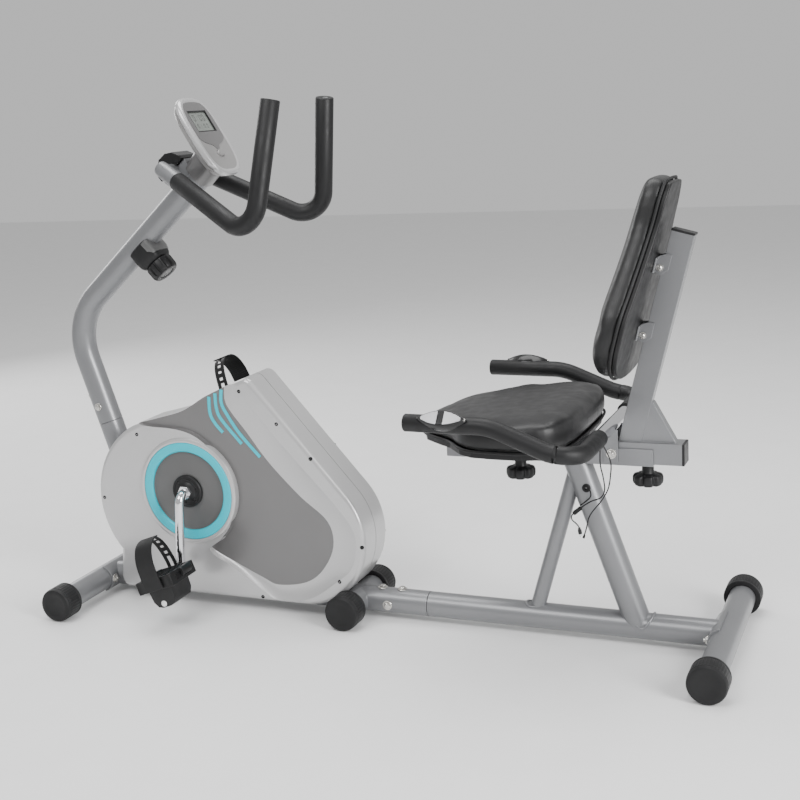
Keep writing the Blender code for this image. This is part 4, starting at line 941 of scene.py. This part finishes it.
def crowned(outline, low, high, matrix, crown):
    """A pad: a flat back, upright sides that draw in at both seams, and a crowned face."""
    centre = Vector((sum(u for u, v in outline), sum(v for u, v in outline))) / len(outline)
    span = high - low
    rows = [(0.003, 0.0), (0.0006, 0.05), (0.0, 0.14), (0.0, 0.72), (0.0008, 0.84), (0.0038, 0.95),
        (0.01, 1.0)]
    rings = [[Vector((u, v, low + span * t)) for u, v in inset(outline, d)] for d, t in rows]
    last = inset(outline, 0.01)
    for share in (0.82, 0.62, 0.42, 0.22):
        rise = crown * (1 - share * share)
        rings.append([Vector((centre.x + (u - centre.x) * share, centre.y + (v - centre.y) * share,
            high + rise)) for u, v in last])
    data = loft(rings)
    if matrix:
        data.transform(matrix)
    return data


def stuffed(data, pinned):
    """The pad filled like a cushion by a short cloth simulation, each point moving MOST_SWELL at most."""
    holder = bpy.data.objects.new("pad", data)
    bpy.context.scene.collection.objects.link(holder)
    remesh = holder.modifiers.new("even", "REMESH")
    remesh.mode = "VOXEL"
    remesh.voxel_size = VOXEL
    bpy.context.view_layer.update()
    even = bpy.data.meshes.new_from_object(holder.evaluated_get(bpy.context.evaluated_depsgraph_get()))
    bpy.data.objects.remove(holder)
    rest = [v.co.copy() for v in even.vertices]
    pad = bpy.data.objects.new("pad", even)
    bpy.context.scene.collection.objects.link(pad)
    held = pad.vertex_groups.new(name="held")
    for v in even.vertices:
        if pinned(v.co):
            held.add([v.index], 1.0, "REPLACE")
    cloth = pad.modifiers.new("cloth", "CLOTH")
    cloth.settings.use_pressure = True
    cloth.settings.uniform_pressure_force = PRESSURE
    cloth.settings.effector_weights.gravity = 0
    cloth.settings.vertex_group_mass = "held"
    cloth.settings.tension_stiffness = STIFFNESS
    cloth.settings.compression_stiffness = STIFFNESS
    cloth.settings.bending_stiffness = BENDING
    cloth.settings.quality = 4
    for step in range(1, SIM_FRAMES + 1):
        bpy.context.scene.frame_set(step)
    swollen = bpy.data.meshes.new_from_object(pad.evaluated_get(bpy.context.evaluated_depsgraph_get()))
    bpy.data.objects.remove(pad)
    bpy.context.scene.frame_set(1)
    for v, start in zip(swollen.vertices, rest):
        move = v.co - start
        if move.length > MOST_SWELL:
            v.co = start + move.normalized() * MOST_SWELL
    return swollen


def soften(obj):
    """Fairs out the simulated surface and halves its facets."""
    fair = obj.modifiers.new("fair", "SMOOTH")
    fair.factor = 0.5
    fair.iterations = 22
    sub = obj.modifiers.new("fine", "SUBSURF")
    sub.levels = sub.render_levels = 1


def seam(name, loop, radius, body):
    """A welt along a closed loop of points."""
    line = [Vector(p) for p in loop]
    piece(name, tube(line + line[:1], radius, 12, caps=False), THREAD, body, sharp=80)


SEAT_HALF = mm((101, 0), (106, 40), (125, 80), (158, 107), (190, 130), (222, 168), (250, 186), (290, 190),
    (345, 190), (385, 176), (408, 145), (416.5, 100), (419, 40))
seat_loop = eased_flat(SEAT_HALF + [(x, -y) for x, y in reversed(SEAT_HALF[1:])], 5, closed=True)
SEAT_LOW, SEAT_HIGH = 0.4026, 0.455
seat_mesh = crowned(inset(seat_loop, 0.0015), SEAT_LOW, SEAT_HIGH, None, 0.004)
for v in seat_mesh.vertices:
    lift = (v.co.z - SEAT_LOW) / (SEAT_HIGH - SEAT_LOW)
    back_from_nose = v.co.x - 0.1
    thickness = 0.031 + back_from_nose * 0.078 - 0.01 * math.exp(-(back_from_nose / 0.035) ** 2)
    v.co.z = SEAT_LOW + lift * thickness
seat_pad = piece("seat_pad", stuffed(seat_mesh, lambda p: p.z < SEAT_LOW + 0.004), LEATHER, "seat",
    "seat_cushion", sharp=180)
soften(seat_pad)
seam("seat_welt", [(x, y, SEAT_LOW + 0.0018) for x, y in inset(seat_loop, 0.0022)], 0.0026, "seat")

BACK_HALF = mm((474, 30), (469, 50), (438.6, 66), (397, 72), (355.9, 88), (293.8, 120), (248.3, 147),
    (211, 152), (180, 148), (149, 125), (128, 80), (120, 30))
back_loop = eased_flat([(y, h) for h, y in BACK_HALF] + [(-y, h) for h, y in reversed(BACK_HALF)], 5,
    closed=True)
PAD = BACK @ Matrix(((0, 0, -1, 0), (-1, 0, 0, 0), (0, 1, 0, 0), (0, 0, 0, 1)))
BACK_LOW = 0.0219
back_mesh = crowned(inset(back_loop, 0.0015), BACK_LOW, 0.059, PAD, 0.0055)
pad_inverse = PAD.inverted()
back_pad = piece("back_pad", stuffed(back_mesh, lambda p: (pad_inverse @ p).z < BACK_LOW + 0.004), LEATHER,
    "back", "back_cushion", sharp=180)
soften(back_pad)
seam("back_welt", [PAD @ Vector((u, v, BACK_LOW + 0.002)) for u, v in inset(back_loop, 0.0018)], 0.0028,
    "back")
board = plate(inset(back_loop, 0.004), 0.0126, 0.0216, "Z", PAD)
piece("back_shell", board, PLASTIC, "back", "back_board", edge=0.0025)

# Side hand bars --------------------------------------------------------------------------------

POD_ROLL = math.radians(50)
POD_X, POD_HALF, POD_CROWN, GRIP_Z = 0.225, 0.0455, 0.0035, 0.4637
side_path = [(0.152, -ARM_Y, 0.464), (0.304, -ARM_Y, 0.463), (0.405, -ARM_Y, 0.422),
    (CROSS.x, -ARM_Y, CROSS.z), (CROSS.x, 0, CROSS.z)]
side_line = bent(side_path, [0.12, 0.1, 0.042], 12)
full_line = side_line[:-1] + [Vector((p.x, -p.y, p.z)) for p in reversed(side_line[:-1])]
piece("side_bar", tube(full_line, 0.0125, 40), CHROME, "root", "side_handlebar", sharp=60)
for side, word in SIDES:
    foam_line = [Vector((p.x, -side * p.y, p.z)) for p in side_line[:-1]] + [Vector((CROSS.x, side * 0.1,
        CROSS.z))]
    foam_line = [foam_line[0], foam_line[0] + X * 0.0015] + foam_line[1:]
    radii = [0.0143] + [0.0155] * (len(foam_line) - 1)
    piece(f"side_foam_{word}", tube(foam_line, radii, 44), FOAM, "root", f"side_grip_{word}",
        sharp=50)
    piece(f"side_plug_{word}", lathe(mm((0, 1), (9, 1.4), (12.2, 0.6), (12.4, -2)),
        (0.1524, side * ARM_Y, 0.464), -X, 36), PLASTIC, "root")
    near, far = sorted((side * 0.0238, side * 0.0268))
    bracket = block((0.446, near, 0.352), (0.472, far, 0.412))
    piece(f"bar_bracket_{word}", bracket, FRAME, "root", edge=0.0008, segments=2)
    bolt(f"bar_bolt_{word}", (0.46, side * 0.0268, 0.368), (0, side, 0), 0.0062)
    pod_line = []
    for k in range(48):
        a = math.tau * k / 48
        u, v = math.cos(a), math.sin(a)
        pod_line.append((POD_X + POD_HALF * u, side * ARM_Y + 0.016 * v * (1 - 0.55 * abs(u) ** 2.2)))
    pod_rings = []
    for shrink, z in ((0.0016, 0.466), (0.0, 0.47), (0.0, 0.48), (0.0018, 0.4845), (0.004, 0.4862)):
        pod_rings.append([Vector((x, y,
            z + (POD_CROWN - POD_CROWN * (abs(x - POD_X) / POD_HALF) ** 2) * (z > 0.479))) for x,
            y in inset(pod_line, shrink)])
    grip_line = Matrix.Translation((0, side * ARM_Y, GRIP_Z))
    roll = grip_line @ Matrix.Rotation(-side * POD_ROLL, 4, "X") @ grip_line.inverted()
    pod = cut(loft(pod_rings), rod((0.1, side * ARM_Y, GRIP_Z), (0.35, side * ARM_Y, GRIP_Z), 0.0152, 48))
    pod.transform(roll)
    piece(f"pulse_pod_{word}", pod, GLOSS, "root", f"pulse_sensor_{word}", sharp=30)
    for k, (x0, x1) in enumerate(((0.188, 0.2205), (0.2295, 0.262))):
        outline = [(x, y) for x, y in inset(resampled(pod_line, 0.002), 0.0034) if x0 <= x <= x1]
        lower = sorted([p for p in outline if (p[1] - side * ARM_Y) < 0])
        upper = sorted([p for p in outline if (p[1] - side * ARM_Y) >= 0], reverse=True)
        plates = plate(lower + upper, 0.4858, 0.49, "Z")
        for v in plates.vertices:
            v.co.z -= POD_CROWN * (abs(v.co.x - POD_X) / POD_HALF) ** 2
        plates.transform(roll)
        piece(f"pulse_plate_{word}_{k}", plates, STEEL, "root", edge=0.0008, segments=2)
    screw(f"pulse_screw_{word}", roll @ Vector((0.2665, side * ARM_Y, 0.4848)), roll.to_3x3() @ Z, 0.0024,
        ZINC, "root")

# Floor and light -------------------------------------------------------------------------------

floor = bpy.data.objects.new("floor", plate([(-9, -9), (9, -9), (9, 9), (-9, 9)], -0.0005, -0.0004, "Z"))
bpy.context.scene.collection.objects.link(floor)
floor.data.materials.append(material("floor", (0.82, 0.82, 0.82), 0.85, 0.0, (40, 0.0002), 0.01))
world = bpy.data.worlds.new("studio")
bpy.context.scene.world = world
world.use_nodes = True
world.node_tree.nodes["Background"].inputs["Color"].default_value = (1, 1, 1, 1)
world.node_tree.nodes["Background"].inputs["Strength"].default_value = 0.62


def light(name, at, towards, size, power):
    """A rectangular lamp aimed at a point."""
    lamp = bpy.data.lights.new(name, "AREA")
    lamp.shape = "RECTANGLE"
    lamp.size, lamp.size_y = size
    lamp.energy = power
    made = bpy.data.objects.new(name, lamp)
    bpy.context.scene.collection.objects.link(made)
    made.matrix_world = Matrix.Translation(at) @ (Vector(at) - Vector(towards)).to_track_quat("Z",
        "Y").to_matrix().to_4x4()


light("key", (-0.8, -2.4, 3.0), (-0.1, 0, 0.4), (2.2, 1.4), 62)
light("side", (3.0, -1.4, 1.6), (0.1, 0, 0.4), (1.1, 2.0), 130)
light("top", (-0.2, 0.5, 3.2), (0, 0, 0.3), (2.6, 1.6), 70)
light("back", (-2.6, 1.6, 1.6), (0, 0, 0.5), (1.2, 2.0), 30)
